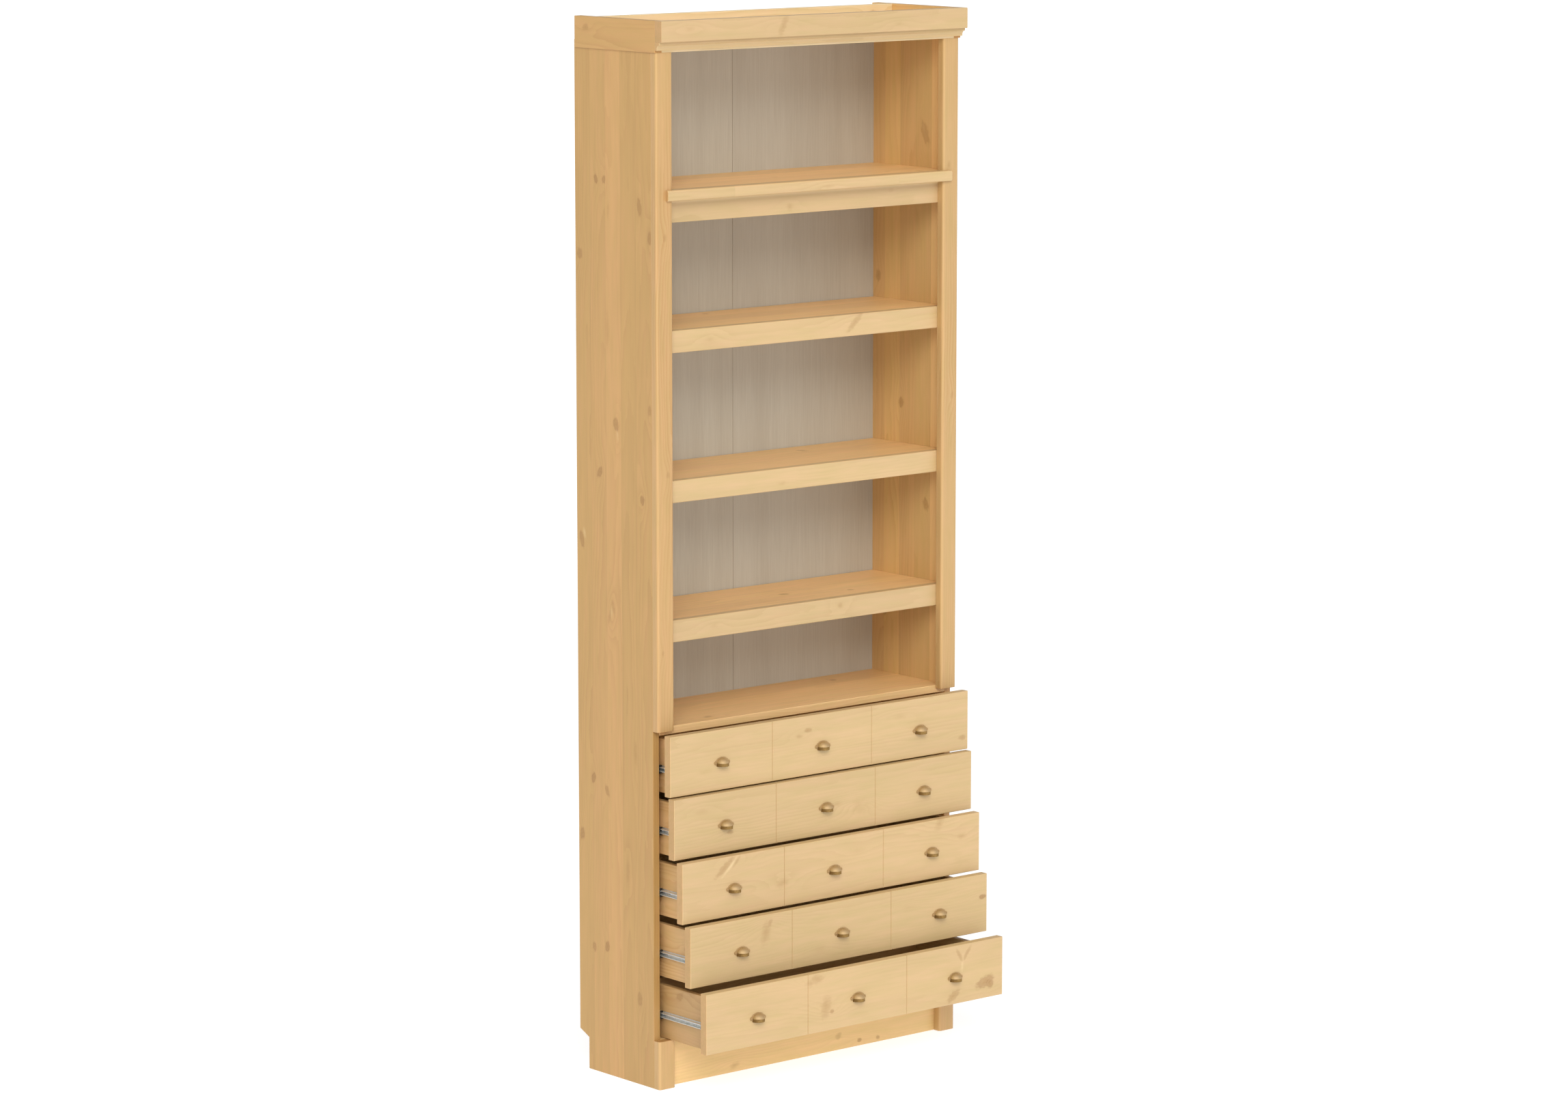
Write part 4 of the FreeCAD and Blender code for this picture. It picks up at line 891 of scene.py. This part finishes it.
def printed_board(obj, printed_tones, bare_tones, way, face_axis, face_sign):
    """Fibreboard with a printed grain on one side and the bare board on the other.

    way is the axis of the printed grain; the printed side faces along face_axis times face_sign.
    """
    pale, dark = (paint(tone) for tone in printed_tones)
    bare, dark_bare = (paint(tone) for tone in bare_tones)
    material, tree, shader, source = new_material("printed fibreboard " + obj.name)
    fine_scale = tuple(1000 / FINE_GRAIN[axis != way] for axis in "xyz")
    broad_scale = tuple(1000 / BROAD_BANDS[axis != way] for axis in "xyz")
    fine_place = add_node(tree, "VectorMath", "MULTIPLY", [source["Object"], fine_scale]).outputs[0]
    fine = add_node(tree, "TexNoise", None,
                    {"Vector": fine_place, "Scale": 1.0, "Detail": 3.0, "Roughness": 0.7}).outputs["Fac"]
    broad_place = add_node(tree, "VectorMath", "MULTIPLY", [source["Object"], broad_scale]).outputs[0]
    broad = add_node(tree, "TexNoise", None, {"Vector": broad_place, "Scale": 1.0, "Detail": 2.0}).outputs
    share = add_node(tree, "Math", "MULTIPLY_ADD", [broad["Fac"], 0.8, fine]).outputs[0]
    lined = add_node(tree, "MapRange", None, [share, 0.45, 1.35, 0.0, 1.0]).outputs[0]
    printed = add_node(tree, "Mix", {"data_type": "RGBA"}, {0: lined, 6: pale, 7: dark}).outputs[2]
    # bare fibreboard: clumps of felted fibre, in clouds as broad as a hand
    pulp = add_node(tree, "TexNoise", None,
                    {"Vector": source["Object"], "Scale": FELT_SCALE, "Detail": 5.0,
                     "Roughness": 0.7}).outputs["Fac"]
    clouds = add_node(tree, "TexNoise", None,
                      {"Vector": source["Object"], "Scale": CLOUD_SCALE, "Detail": 3.0}).outputs["Fac"]
    felted = add_node(tree, "Math", "MULTIPLY_ADD", [clouds, 0.6, pulp]).outputs[0]
    shade = add_node(tree, "MapRange", None, [felted, 0.4, 1.2, 0.0, 1.0]).outputs[0]
    raw = add_node(tree, "Mix", {"data_type": "RGBA"}, {0: shade, 6: bare, 7: dark_bare}).outputs[2]
    normals = add_node(tree, "SeparateXYZ", None, [source["Normal"]]).outputs
    facing = normals["XYZ".index(face_axis)]
    turned_away = add_node(tree, "MapRange", None,
                           [facing, face_sign * 0.5, face_sign * 0.4, 0.0, 1.0]).outputs[0]
    colour = add_node(tree, "Mix", {"data_type": "RGBA"}, {0: turned_away, 6: printed, 7: raw}).outputs[2]
    bump = add_node(tree, "Bump", None, {"Height": fine, "Strength": 0.15, "Distance": 0.1 * MM}).outputs[0]
    feed(shader, {"Base Color": colour, "Roughness": 0.55, "Normal": bump})
    dress(obj, material)
    print(material.name, "prints", *printed_tones, "over bare board", *bare_tones)


BACK_PRINTS = {"left": ("C5C2B5", "ADA799"), "right": ("C3C0B4", "ADA799")}
BACK_BARE = ("A5825A", "73563A")
BOTTOM_PRINT, BOTTOM_BARE = ("E6D6B6", "D3BE98"), ("DCCBA8", "C2AB82")
for half, tones in BACK_PRINTS.items():
    printed_board(frame["nodes"]["back_board_" + half], tones, BACK_BARE, "z", "Y", -1)
for number in FRONT_KNOTS:
    printed_board(frame["nodes"]["drawer_%d_bottom" % number], BOTTOM_PRINT, BOTTOM_BARE, "x", "Z", 1)

# %% [markdown]
# ## Metals, plastic and dowels
#
# Zinc plate is a cool, slightly blue grey that is never quite even. Screws are brighter steel. The end
# stops are black moulded plastic, and the dowels inside the joints are beech. All four wander between
# two tones and two roughnesses, so one recipe serves them.
#
# The pulls are cast zinc with an antique finish: a dark brown patina over a brass colour. It has been
# rubbed off the dome and is thin on the plate behind. The band below the dome keeps a dark patina and is
# painted darker still, a painted shade for the shadow under the cup. Each of the three starts from its
# own patina and turns paler where the surface faces out, which is where the polishing wheel reaches,
# and, less so, where it faces up, a painted light from above.

# %% Small materials
def mottled(name, pale, dark, scale, metallic, rough_low, rough_high, bump_mm, stretch=(1, 1, 1)):
    """A finish whose tone and roughness wander between two values; scale is a cloud's size in mm."""
    material, tree, shader, source = new_material(name)
    place = add_node(tree, "VectorMath", "MULTIPLY", [source["Object"], stretch]).outputs[0]
    cloud = add_node(tree, "TexNoise", None,
                     {"Vector": place, "Scale": 1000 / scale, "Detail": 3.0}).outputs["Fac"]
    spread = add_node(tree, "MapRange", None, [cloud, 0.3, 0.7, 0.0, 1.0]).outputs[0]
    colour = add_node(tree, "Mix", {"data_type": "RGBA"},
                      {0: spread, 6: paint(pale), 7: paint(dark)}).outputs[2]
    rough = add_node(tree, "MapRange", None, [spread, 0.0, 1.0, rough_low, rough_high]).outputs[0]
    grain = add_node(tree, "TexNoise", None,
                     {"Vector": place, "Scale": 4000 / scale, "Detail": 2.0}).outputs["Fac"]
    bump = add_node(tree, "Bump", None,
                    {"Height": grain, "Strength": 0.3, "Distance": bump_mm * MM}).outputs[0]
    feed(shader, {"Base Color": colour, "Roughness": rough, "Normal": bump, "Metallic": metallic})
    return material


# zinc plate scatters light softly, and turned steel mirrors it more sharply
ZINC = mottled("zinc-plated steel", "EEEEEA", "DADBD8", 6, 1.0, 0.5, 0.62, 0.02)
STEEL = mottled("bright steel screw", "ECEDF0", "D2D4D9", 3, 1.0, 0.26, 0.38, 0.01)
# the mould leaves a fine matt grain on plastic, and the lathe leaves beech plain and dull
PLASTIC = mottled("black moulded plastic", "0C0B0A", "070606", 2, 0.0, 0.5, 0.6, 0.02)
BEECH = mottled("turned beech", "D9B58C", "C79E70", 3, 0.0, 0.5, 0.6, 0.03, (1, 8, 8))
PATINA_SCALE = 260.0        # per metre: blotches about 4 mm wide
TOP_LIGHT_SHARE = 0.35             # how much facing up counts beside facing out: a painted light from above


def antique_brass(name, hollow, rubbed_brass, rub_from, rub_to):
    """Brass with a brown patina rubbed off where it faces out, and painted paler where it faces up."""
    material, tree, shader, source = new_material(name)
    patina = add_node(tree, "TexNoise", None,
                      {"Vector": source["Object"], "Scale": PATINA_SCALE, "Detail": 4.0}).outputs["Fac"]
    normal = add_node(tree, "SeparateXYZ", None, [source["Normal"]]).outputs
    outward = add_node(tree, "Math", "MULTIPLY_ADD", [normal[1], -1.0, patina]).outputs[0]
    out_and_top_lit = add_node(tree, "Math", "MULTIPLY_ADD", [normal[2], TOP_LIGHT_SHARE, outward]).outputs[0]
    rubbed_and_top_lit = add_node(tree, "MapRange", {"interpolation_type": "SMOOTHSTEP"},
                    [out_and_top_lit, rub_from, rub_to, 0.0, 1.0]).outputs[0]
    colour = add_node(tree, "Mix", {"data_type": "RGBA"},
                      {0: rubbed_and_top_lit, 6: paint(hollow), 7: paint(rubbed_brass)}).outputs[2]
    rough = add_node(tree, "MapRange", None, [rubbed_and_top_lit, 0.0, 1.0, 0.74, 0.7]).outputs[0]
    bump = add_node(tree, "Bump", None,
                    {"Height": patina, "Strength": 0.25, "Distance": 0.1 * MM}).outputs[0]
    feed(shader, {"Base Color": colour, "Roughness": rough, "Normal": bump, "Metallic": 1.0})
    return material


BRASS = antique_brass("antique brass, rubbed", "BFA573", "CBB086", 0.75, 1.35)
# the band's dark patina also carries painted shade, for the shadow under the cup
BRASS_SHADED_BAND = antique_brass("antique brass, dark patina", "8C6F43", "B89860", 1.0, 1.9)
BRASS_PLATE = antique_brass("antique brass, thin patina", "B79C6E", "D0B188", 1.0, 1.9)
dress(frame["nodes"]["carcass_dowels"], BEECH)
dress(frame["nodes"]["shelf_pins"], STEEL)
for number in FRONT_KNOTS:
    dress(frame["nodes"]["drawer_%d_ball_cages" % number], ZINC)
for material in (ZINC, STEEL, PLASTIC, BEECH, BRASS, BRASS_SHADED_BAND, BRASS_PLATE):
    print("material:", material.name)

# %% [markdown]
# ## Screws
#
# One pan-head screw serves the runners and one round head with a slot serves the pulls. Both start as
# a short cone. For the cross, the head's top face is cut by planes into a small grid, and the faces
# that form a cross are pushed down. Only the heads show, so the shanks stay plain.

# %% Screw heads
def recess(bm, depth, half_width, half_length, cross):
    """Pushes a slot or a cross into the top face of a head that points along +Z."""
    both = (half_width, half_length)
    cuts = (both, both) if cross else ((half_length,), (half_width,))
    for axis, offsets in zip(((1, 0, 0), (0, 1, 0)), cuts):
        for offset in offsets:
            for sign in (-1, 1):
                top = [f for f in bm.faces if f.normal.z > 0.99]
                ring = {e for f in top for e in f.edges} | {v for f in top for v in f.verts}
                bmesh.ops.bisect_plane(bm, geom=list(ring) + top, plane_co=Vector(axis) * offset * sign,
                                       plane_no=axis)
    sunk = []
    for face in bm.faces:
        middle = face.calc_center_median()
        if face.normal.z > 0.99:
            in_x = abs(middle.x) < half_length and abs(middle.y) < half_width
            in_y = cross and abs(middle.x) < half_width and abs(middle.y) < half_length
            if in_x or in_y:
                sunk.append(face)
    push_faces(bm, sunk, (0, 0, -depth))


CROSS_REACH, SLOT_REACH, CUT_WIDTH = 0.5, 0.66, 0.11    # of the recess, in head radii from the middle


def screw(head_radius, head_height, shank_radius, shank_length, cross):
    """A screw along +Z with the underside of its head at the origin."""
    bm = bmesh.new()
    bmesh.ops.create_cone(bm, cap_ends=True, segments=20, radius1=head_radius, radius2=head_radius * 0.8,
                          depth=head_height)
    bmesh.ops.translate(bm, vec=(0, 0, head_height / 2), verts=bm.verts)
    top = [e for e in bm.edges if all(v.co.z > head_height * 0.99 for v in e.verts)]
    bmesh.ops.bevel(bm, geom=top, offset=head_height * 0.45, offset_type="OFFSET", affect="EDGES",
                    segments=3, profile=0.5, material=-1)
    reach = CROSS_REACH if cross else SLOT_REACH
    recess(bm, head_height * 0.5, head_radius * CUT_WIDTH, head_radius * reach, cross)
    shank = bmesh.ops.create_cone(bm, cap_ends=True, segments=10, radius1=shank_radius,
                                  radius2=shank_radius, depth=shank_length)["verts"]
    bmesh.ops.translate(bm, vec=(0, 0, -shank_length / 2), verts=shank)
    return bm


def turned_copy(bm, turn, place):
    """A copy of a small bmesh, turned about its origin by degrees and moved to a place."""
    copy = bm.copy()
    matrix = Euler([math.radians(a) for a in turn], "XYZ").to_matrix()
    bmesh.ops.rotate(copy, matrix=matrix, verts=copy.verts)
    bmesh.ops.translate(copy, vec=place, verts=copy.verts)
    return copy


def joined(parts):
    """One bmesh from several; the parts are freed."""
    whole = bmesh.new()
    for part in parts:
        mesh = bpy.data.meshes.new("part")
        part.to_mesh(mesh)
        part.free()
        whole.from_mesh(mesh)
        bpy.data.meshes.remove(mesh)
    return whole


PAN_HEAD = (2.6 * MM, 1.1 * MM, 1.5 * MM)       # head's radius and height, shank's radius
ROUND_HEAD = (2.2 * MM, 1.2 * MM, 1.25 * MM)
panel_screw = screw(*PAN_HEAD, shank_length=11 * MM, cross=True)
side_screw = screw(*PAN_HEAD, shank_length=8 * MM, cross=True)
pull_screw = screw(*ROUND_HEAD, shank_length=11 * MM, cross=False)
print("faces in a cross-head screw:", len(panel_screw.faces), "and in a slotted one:", len(pull_screw.faces))

# %% [markdown]
# ## Runners
#
# Ball bearing runners are rolled from zinc-plated strip. The cabinet's channel is a C, the drawer's is
# a narrower U with small wings, and the ball cage between them comes from the frame. A rolled section
# is the same all along, so each is one outline, extruded, with its bends rounded. All ten channels of
# the cabinet become one piece, as do their end stops and their screws.

# %% Cabinet channels, end stops and their screws
PANEL_INSIDE = 384 * MM     # from the middle of the bookcase
RUNNER_LEVEL = 47.5 * MM    # above a drawer front's foot
CHANNEL_LIP, CHANNEL_HALF, SHEET = 8.8 * MM, 8.5 * MM, 1.2 * MM
RUNNER_FRONT, RUNNER_LENGTH = -2 * MM, 208 * MM
STOP_LENGTH, STOP_MOUTH = 5 * MM, 5.5 * MM
ROLLED_BEND = 1.6 * MM
SHEET_ARRIS, SHEET_EDGE = 0.3 * MM, 60  # its width, and how steep an edge of sheet gets one
PANEL_SCREWS = (18, 104, 190)           # mm from the runner's front end


def channel(mouth, front, length, level, wall_half):
    """The cabinet's channel on the right side panel, open towards the drawer."""
    back = PANEL_INSIDE - SHEET
    points = [(mouth, CHANNEL_HALF), (PANEL_INSIDE, CHANNEL_HALF), (PANEL_INSIDE, -CHANNEL_HALF),
              (mouth, -CHANNEL_HALF), (mouth, -wall_half), (back, -wall_half), (back, wall_half),
              (mouth, wall_half)]
    return swept([(x, front, level + z) for x, z in points], (0, length, 0))


levels = [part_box("drawer_%d_front" % n)[0].z + RUNNER_LEVEL for n in FRONT_KNOTS]
mouth = PANEL_INSIDE - CHANNEL_LIP
channels, stops, screws = [], [], []
for level in levels:
    for flip in (1, -1):
        bar = channel(mouth, RUNNER_FRONT, RUNNER_LENGTH, level, CHANNEL_HALF - SHEET)
        for z in (level - CHANNEL_HALF, level + CHANNEL_HALF):
            round_edges(bar, "y", ROLLED_BEND, 3, x=PANEL_INSIDE, z=z)
        ease(bar, SHEET_ARRIS, 1, SHEET_EDGE)
        stop = channel(mouth, RUNNER_FRONT - STOP_LENGTH, STOP_LENGTH, level, STOP_MOUTH)
        ease(stop, END_ARRIS)
        to_side(bar, flip)
        to_side(stop, flip)
        channels.append(bar)
        stops.append(stop)
        for along in PANEL_SCREWS:
            place = (flip * (PANEL_INSIDE - SHEET * 0.5), RUNNER_FRONT + along * MM, level)
            screws.append(turned_copy(panel_screw, (0, -90 * flip, 0), place))
for parts, name, node, slot, material in (
        (channels, "cabinet_channels", "cabinet_runners", "runner_zinc", ZINC),
        (stops, "channel_end_stops", "runner_end_stops", "stop_plastic", PLASTIC),
        (screws, "panel_screws", "runner_screws", "screw_steel", STEEL)):
    dress(finish_piece(joined(parts), name, "carcass", [node]), material)

# %% [markdown]
# The drawer's half of each runner rides with its drawer. The frame holds every drawer as far out as it
# stands, so the place of its front, compared with that of a shut one, says how far its runners have
# gone along. Dimples are pressed into the strip between the screws.

# %% Drawer channels
SIDE_SCREWS = (14, 48, 82, 116, 150, 194)
SIDE_DIMPLES = (31, 65, 99, 133, 172)
NECK, WING, TIP_GAP = 4.8 * MM, 6.5 * MM, 2.8 * MM
SHUT_REAR = -9 * MM         # where the rear of a shut drawer's front lies
DIMPLE_FOOT, DIMPLE_TOP, DIMPLE_RISE = 2.6 * MM, 1.6 * MM, 1.0 * MM
dimple = bmesh.new()
bmesh.ops.create_cone(dimple, cap_ends=True, segments=16, radius1=DIMPLE_FOOT, radius2=DIMPLE_TOP,
                      depth=DIMPLE_RISE)
ease(dimple, SHEET_ARRIS, 2, 30)
tip = PANEL_INSIDE - TIP_GAP
web = BOX_HALF + SHEET
section = [(BOX_HALF, WING), (web, WING), (web, NECK), (tip, NECK), (tip, NECK - SHEET),
           (web, NECK - SHEET), (web, SHEET - NECK), (tip, SHEET - NECK), (tip, -NECK), (web, -NECK),
           (web, -WING), (BOX_HALF, -WING)]
for number, level in zip(FRONT_KNOTS, levels):
    body = "drawer_%d" % number
    front = RUNNER_FRONT + (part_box(body + "_front")[1].y - SHUT_REAR)
    bars, heads = [], []
    for flip in (1, -1):
        bar = swept([(x, front, level + z) for x, z in section], (0, RUNNER_LENGTH, 0))
        ease(bar, SHEET_ARRIS, 2, SHEET_EDGE)
        to_side(bar, flip)
        bars.append(bar)
        for small, places, found in ((dimple, SIDE_DIMPLES, bars), (side_screw, SIDE_SCREWS, heads)):
            for along in places:
                place = (flip * web, front + along * MM, level)
                found.append(turned_copy(small, (0, 90 * flip, 0), place))
    obj = finish_piece(joined(bars), body + "_slides", body, [body + "_runners"])
    dress(obj, ZINC)
    obj = finish_piece(joined(heads), body + "_slide_screws", body, [body + "_runners"])
    dress(obj, STEEL)

# %% [markdown]
# ## Cup pulls
#
# The pulls are small cast cups, open below, with an ear at each side for a screw. The cup is part of
# an ellipsoid: a sphere is scaled, two planes cut away its back and its lower half, and the open lower
# edge is drawn down into a skirt. Solidify gives the casting its wall. A bead runs round the mouth, and
# a slim oval plate behind the cup reaches as far as the middles of both ears. The patina differs over
# the pull, so its faces choose among three materials: the dome is rubbed, the skirt and the bead are a
# dark band of patina with painted shade for the shadow under the cup, and the plate, the ears and the
# screws are between the two.

# %% One cup pull
BAND, PLATE = 1, 2          # the second and third of the pull's materials; the dome has the first
CUP_HALF, CUP_REACH, CUP_SKIRT, CUP_WALL = 14 * MM, 15 * MM, 6.5 * MM, 1.5 * MM
CUP_RISE = 10 * MM          # the dome above its axis
CUP_AXIS = -2 * MM          # the dome's own axis below the pull's middle
BEAD_RADIUS = 0.8 * MM
PLATE_HALF_HEIGHT, PLATE_THICK = 9.9 * MM, 1.2 * MM
EAR_PLACE, EAR_LEVEL, EAR_RADIUS, EAR_THICK = 16.6 * MM, -1.5 * MM, 3.8 * MM, 1.6 * MM
SAME_LEVEL = 1e-7           # metres; how exactly a vertex lies on the cutting plane
TO_THE_FRONT = Euler((math.radians(90), 0, 0)).to_matrix()


def cup_shell():
    """The dome and its skirt as a wall, open below and behind."""
    bm = bmesh.new()
    bmesh.ops.create_uvsphere(bm, u_segments=40, v_segments=24, radius=1.0)
    turn = Euler((0, math.radians(90), 0)).to_matrix()
    bmesh.ops.rotate(bm, matrix=turn, verts=bm.verts)
    bmesh.ops.scale(bm, vec=(CUP_HALF, CUP_REACH, CUP_RISE), verts=bm.verts)
    for way in ((0, 1, 0), (0, 0, -1)):
        bmesh.ops.bisect_plane(bm, geom=bm.verts[:] + bm.edges[:] + bm.faces[:], plane_co=(0, 0, 0),
                               plane_no=way, clear_outer=True, dist=SAME_LEVEL)
    lower = [e for e in bm.edges
             if e.is_boundary and all(abs(v.co.z) < SAME_LEVEL for v in e.verts)]
    out = bmesh.ops.extrude_edge_only(bm, edges=lower)
    skirt = [v for v in out["geom"] if isinstance(v, bmesh.types.BMVert)]
    bmesh.ops.translate(bm, vec=(0, 0, -CUP_SKIRT), verts=skirt)
    # the skirt below the dome's axis takes the dark band: patina and painted shade
    for face in bm.faces:
        if face.calc_center_median().z < 0:
            face.material_index = BAND
    bmesh.ops.remove_doubles(bm, verts=bm.verts, dist=1e-6)
    bmesh.ops.recalc_face_normals(bm, faces=bm.faces)
    outward = sum(f.normal.dot(f.calc_center_median()) * f.calc_area() for f in bm.faces)
    if outward < 0:
        bmesh.ops.reverse_faces(bm, faces=bm.faces)
    bmesh.ops.solidify(bm, geom=bm.faces[:], thickness=CUP_WALL)
    bmesh.ops.translate(bm, vec=(0, 0, CUP_AXIS), verts=bm.verts)
    return bm


def in_brass(bm, which):
    """Gives all faces of a part one of the pull's materials."""
    for face in bm.faces:
        face.material_index = which
    return bm


def mouth_bead():
    """A thin round bead along the cup's open edge, closed at both ends."""
    bm = bmesh.new()
    wide, deep = CUP_HALF - CUP_WALL / 2, CUP_REACH - CUP_WALL / 2
    ring = bmesh.ops.create_circle(bm, cap_ends=True, segments=10, radius=BEAD_RADIUS)["verts"]
    bmesh.ops.rotate(bm, matrix=TO_THE_FRONT, verts=ring)
    bmesh.ops.translate(bm, vec=(wide, 0, 0), verts=ring)
    bmesh.ops.spin(bm, geom=bm.faces[:] + bm.edges[:] + bm.verts[:], cent=(0, 0, 0), axis=(0, 0, 1),
                   angle=math.radians(-180), steps=32)
    bmesh.ops.scale(bm, vec=(1, deep / wide, 1), verts=bm.verts)
    bmesh.ops.translate(bm, vec=(0, 0, CUP_AXIS - CUP_SKIRT + BEAD_RADIUS), verts=bm.verts)
    bmesh.ops.recalc_face_normals(bm, faces=bm.faces)
    return bm


def flange():
    """A slim oval plate behind the dome, which reaches to the middles of both ears."""
    bm = bmesh.new()
    bmesh.ops.create_cone(bm, cap_ends=True, segments=48, radius1=1.0, radius2=1.0, depth=PLATE_THICK)
    bmesh.ops.scale(bm, vec=(EAR_PLACE, PLATE_HALF_HEIGHT, 1), verts=bm.verts)
    bmesh.ops.rotate(bm, matrix=TO_THE_FRONT, verts=bm.verts)
    bmesh.ops.translate(bm, vec=(0, -PLATE_THICK / 2, 0), verts=bm.verts)
    ease(bm, END_ARRIS)
    return bm


def ear(side):
    """The round ear on one side, which the screw goes through."""
    bm = bmesh.new()
    bmesh.ops.create_cone(bm, cap_ends=True, segments=28, radius1=EAR_RADIUS, radius2=EAR_RADIUS,
                          depth=EAR_THICK)
    bmesh.ops.rotate(bm, matrix=TO_THE_FRONT, verts=bm.verts)
    bmesh.ops.translate(bm, vec=(side * EAR_PLACE, -EAR_THICK / 2, EAR_LEVEL), verts=bm.verts)
    ease(bm, END_ARRIS, 3)
    return bm


plate_parts = [in_brass(part, PLATE) for part in (flange(), ear(-1), ear(1))]
pull = joined([cup_shell(), in_brass(mouth_bead(), BAND)] + plate_parts)
print("faces in a pull:", len(pull.faces))

# %% [markdown]
# ## Three pulls on each drawer
#
# Each third of a front has a pull in its middle, a little below half height. Copies of the one pull
# are joined to one piece per drawer, and their screws to another.

# %% Pulls on the drawers
PULL_DROP = 4 * MM
PULLS_ON_A_FRONT = 3
for number in FRONT_KNOTS:
    body = "drawer_%d" % number
    low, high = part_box(body + "_front")
    third = (high.x - low.x) / PULLS_ON_A_FRONT
    level = (low.z + high.z) / 2 - PULL_DROP
    cups, heads = [], []
    for k in range(PULLS_ON_A_FRONT):
        x = low.x + third * (k + 0.5)
        cups.append(turned_copy(pull, (0, 0, 0), (x, low.y, level)))
        for side in (-1, 1):
            place = (x + side * EAR_PLACE, low.y - EAR_THICK, level + EAR_LEVEL)
            slot_turn = 25 * side + 40 * k      # no two slots of a real screw stop at the same angle
            heads.append(turned_copy(pull_screw, (90, slot_turn, 0), place))
    obj = finish_piece(joined(cups), body + "_cup_pulls", body, [body + "_pulls"])
    dress(obj, BRASS, BRASS_SHADED_BAND, BRASS_PLATE)
    obj = finish_piece(joined(heads), body + "_pull_screws", body, [body + "_pulls"])
    dress(obj, BRASS_PLATE)
for finished in (pull, pull_screw, panel_screw, side_screw, dimple):
    finished.free()

# %% [markdown]
# ## The studio
#
# The bookcase stands on a white acrylic table that is lit from below, as product studios use, so its
# shadow is faint. White surroundings give half of the light. A broad lamp stands at the left, near the
# line of sight, where it looks deep into the bays; the shelves shade only the top of each back board.
# A weak lamp at the right opens up the other side of the rounded edges.

# %% Floor
FLOOR_HALF, GLOW = 120.0, 0.76          # metres, and how bright the acrylic is lit from below
floor_grid = bmesh.new()
bmesh.ops.create_grid(floor_grid, x_segments=1, y_segments=1, size=FLOOR_HALF)
floor_mesh = bpy.data.meshes.new("studio floor")
floor_grid.to_mesh(floor_mesh)
floor_grid.free()
floor = bpy.data.objects.new("studio floor", floor_mesh)
scene.collection.objects.link(floor)
acrylic, _, shader, _ = new_material("backlit white acrylic")
feed(shader, {"Base Color": paint("B0B0B0"), "Roughness": 0.9, "Specular IOR Level": 0.1,
              "Emission Color": paint("FFFFFF"), "Emission Strength": GLOW})
dress(floor, acrylic)
print("the table glows at", GLOW)

# %% Lights and surroundings
WALLS, WINDOW = 0.46, 0.6   # brightness of the room, and what the white wall at the left front adds
WINDOW_PLACE, WINDOW_FALL = (-36, 18), 2.0


def towards(azimuth, elevation):
    """The direction of a light: azimuth 0 is the front, 90 the right, in degrees."""
    a, e = math.radians(azimuth), math.radians(elevation)
    return Vector((math.sin(a) * math.cos(e), -math.cos(a) * math.cos(e), math.sin(e)))


def soft_sun(name, azimuth, elevation, strength, spread, colour):
    """A far lamp whose shadows are as soft as its spread in degrees is wide."""
    lamp = bpy.data.lights.new(name, "SUN")
    lamp.energy = strength
    lamp.angle = math.radians(spread)
    lamp.color = paint(colour)[:3]
    obj = bpy.data.objects.new(name, lamp)
    obj.rotation_euler = towards(azimuth, elevation).to_track_quat("Z", "Y").to_euler()
    scene.collection.objects.link(obj)
    print("%s: %.2f at azimuth %d, elevation %d" % (name, strength, azimuth, elevation))


surroundings = bpy.data.worlds.new("white studio")
surroundings.use_nodes = True
room = surroundings.node_tree
looking = add_node(room, "TexCoord").outputs["Generated"]
near_wall = add_node(room, "VectorMath", "DOT_PRODUCT", [looking, towards(*WINDOW_PLACE)]).outputs["Value"]
in_front = add_node(room, "Math", "MAXIMUM", [near_wall, 0.0]).outputs[0]
bright = add_node(room, "Math", "POWER", [in_front, WINDOW_FALL]).outputs[0]
strength = add_node(room, "Math", "MULTIPLY_ADD", [bright, WINDOW, WALLS]).outputs[0]
feed(room.nodes["Background"], {"Color": paint("FFFFFF"), "Strength": strength})
scene.world = surroundings
soft_sun("left lamp", -36, 32, 1.5, 30, "FFFDF8")
soft_sun("right lamp", 38, 40, 0.25, 50, "FFFFFF")
scene.view_settings.view_transform = "Standard"
scene.view_settings.look = "None"
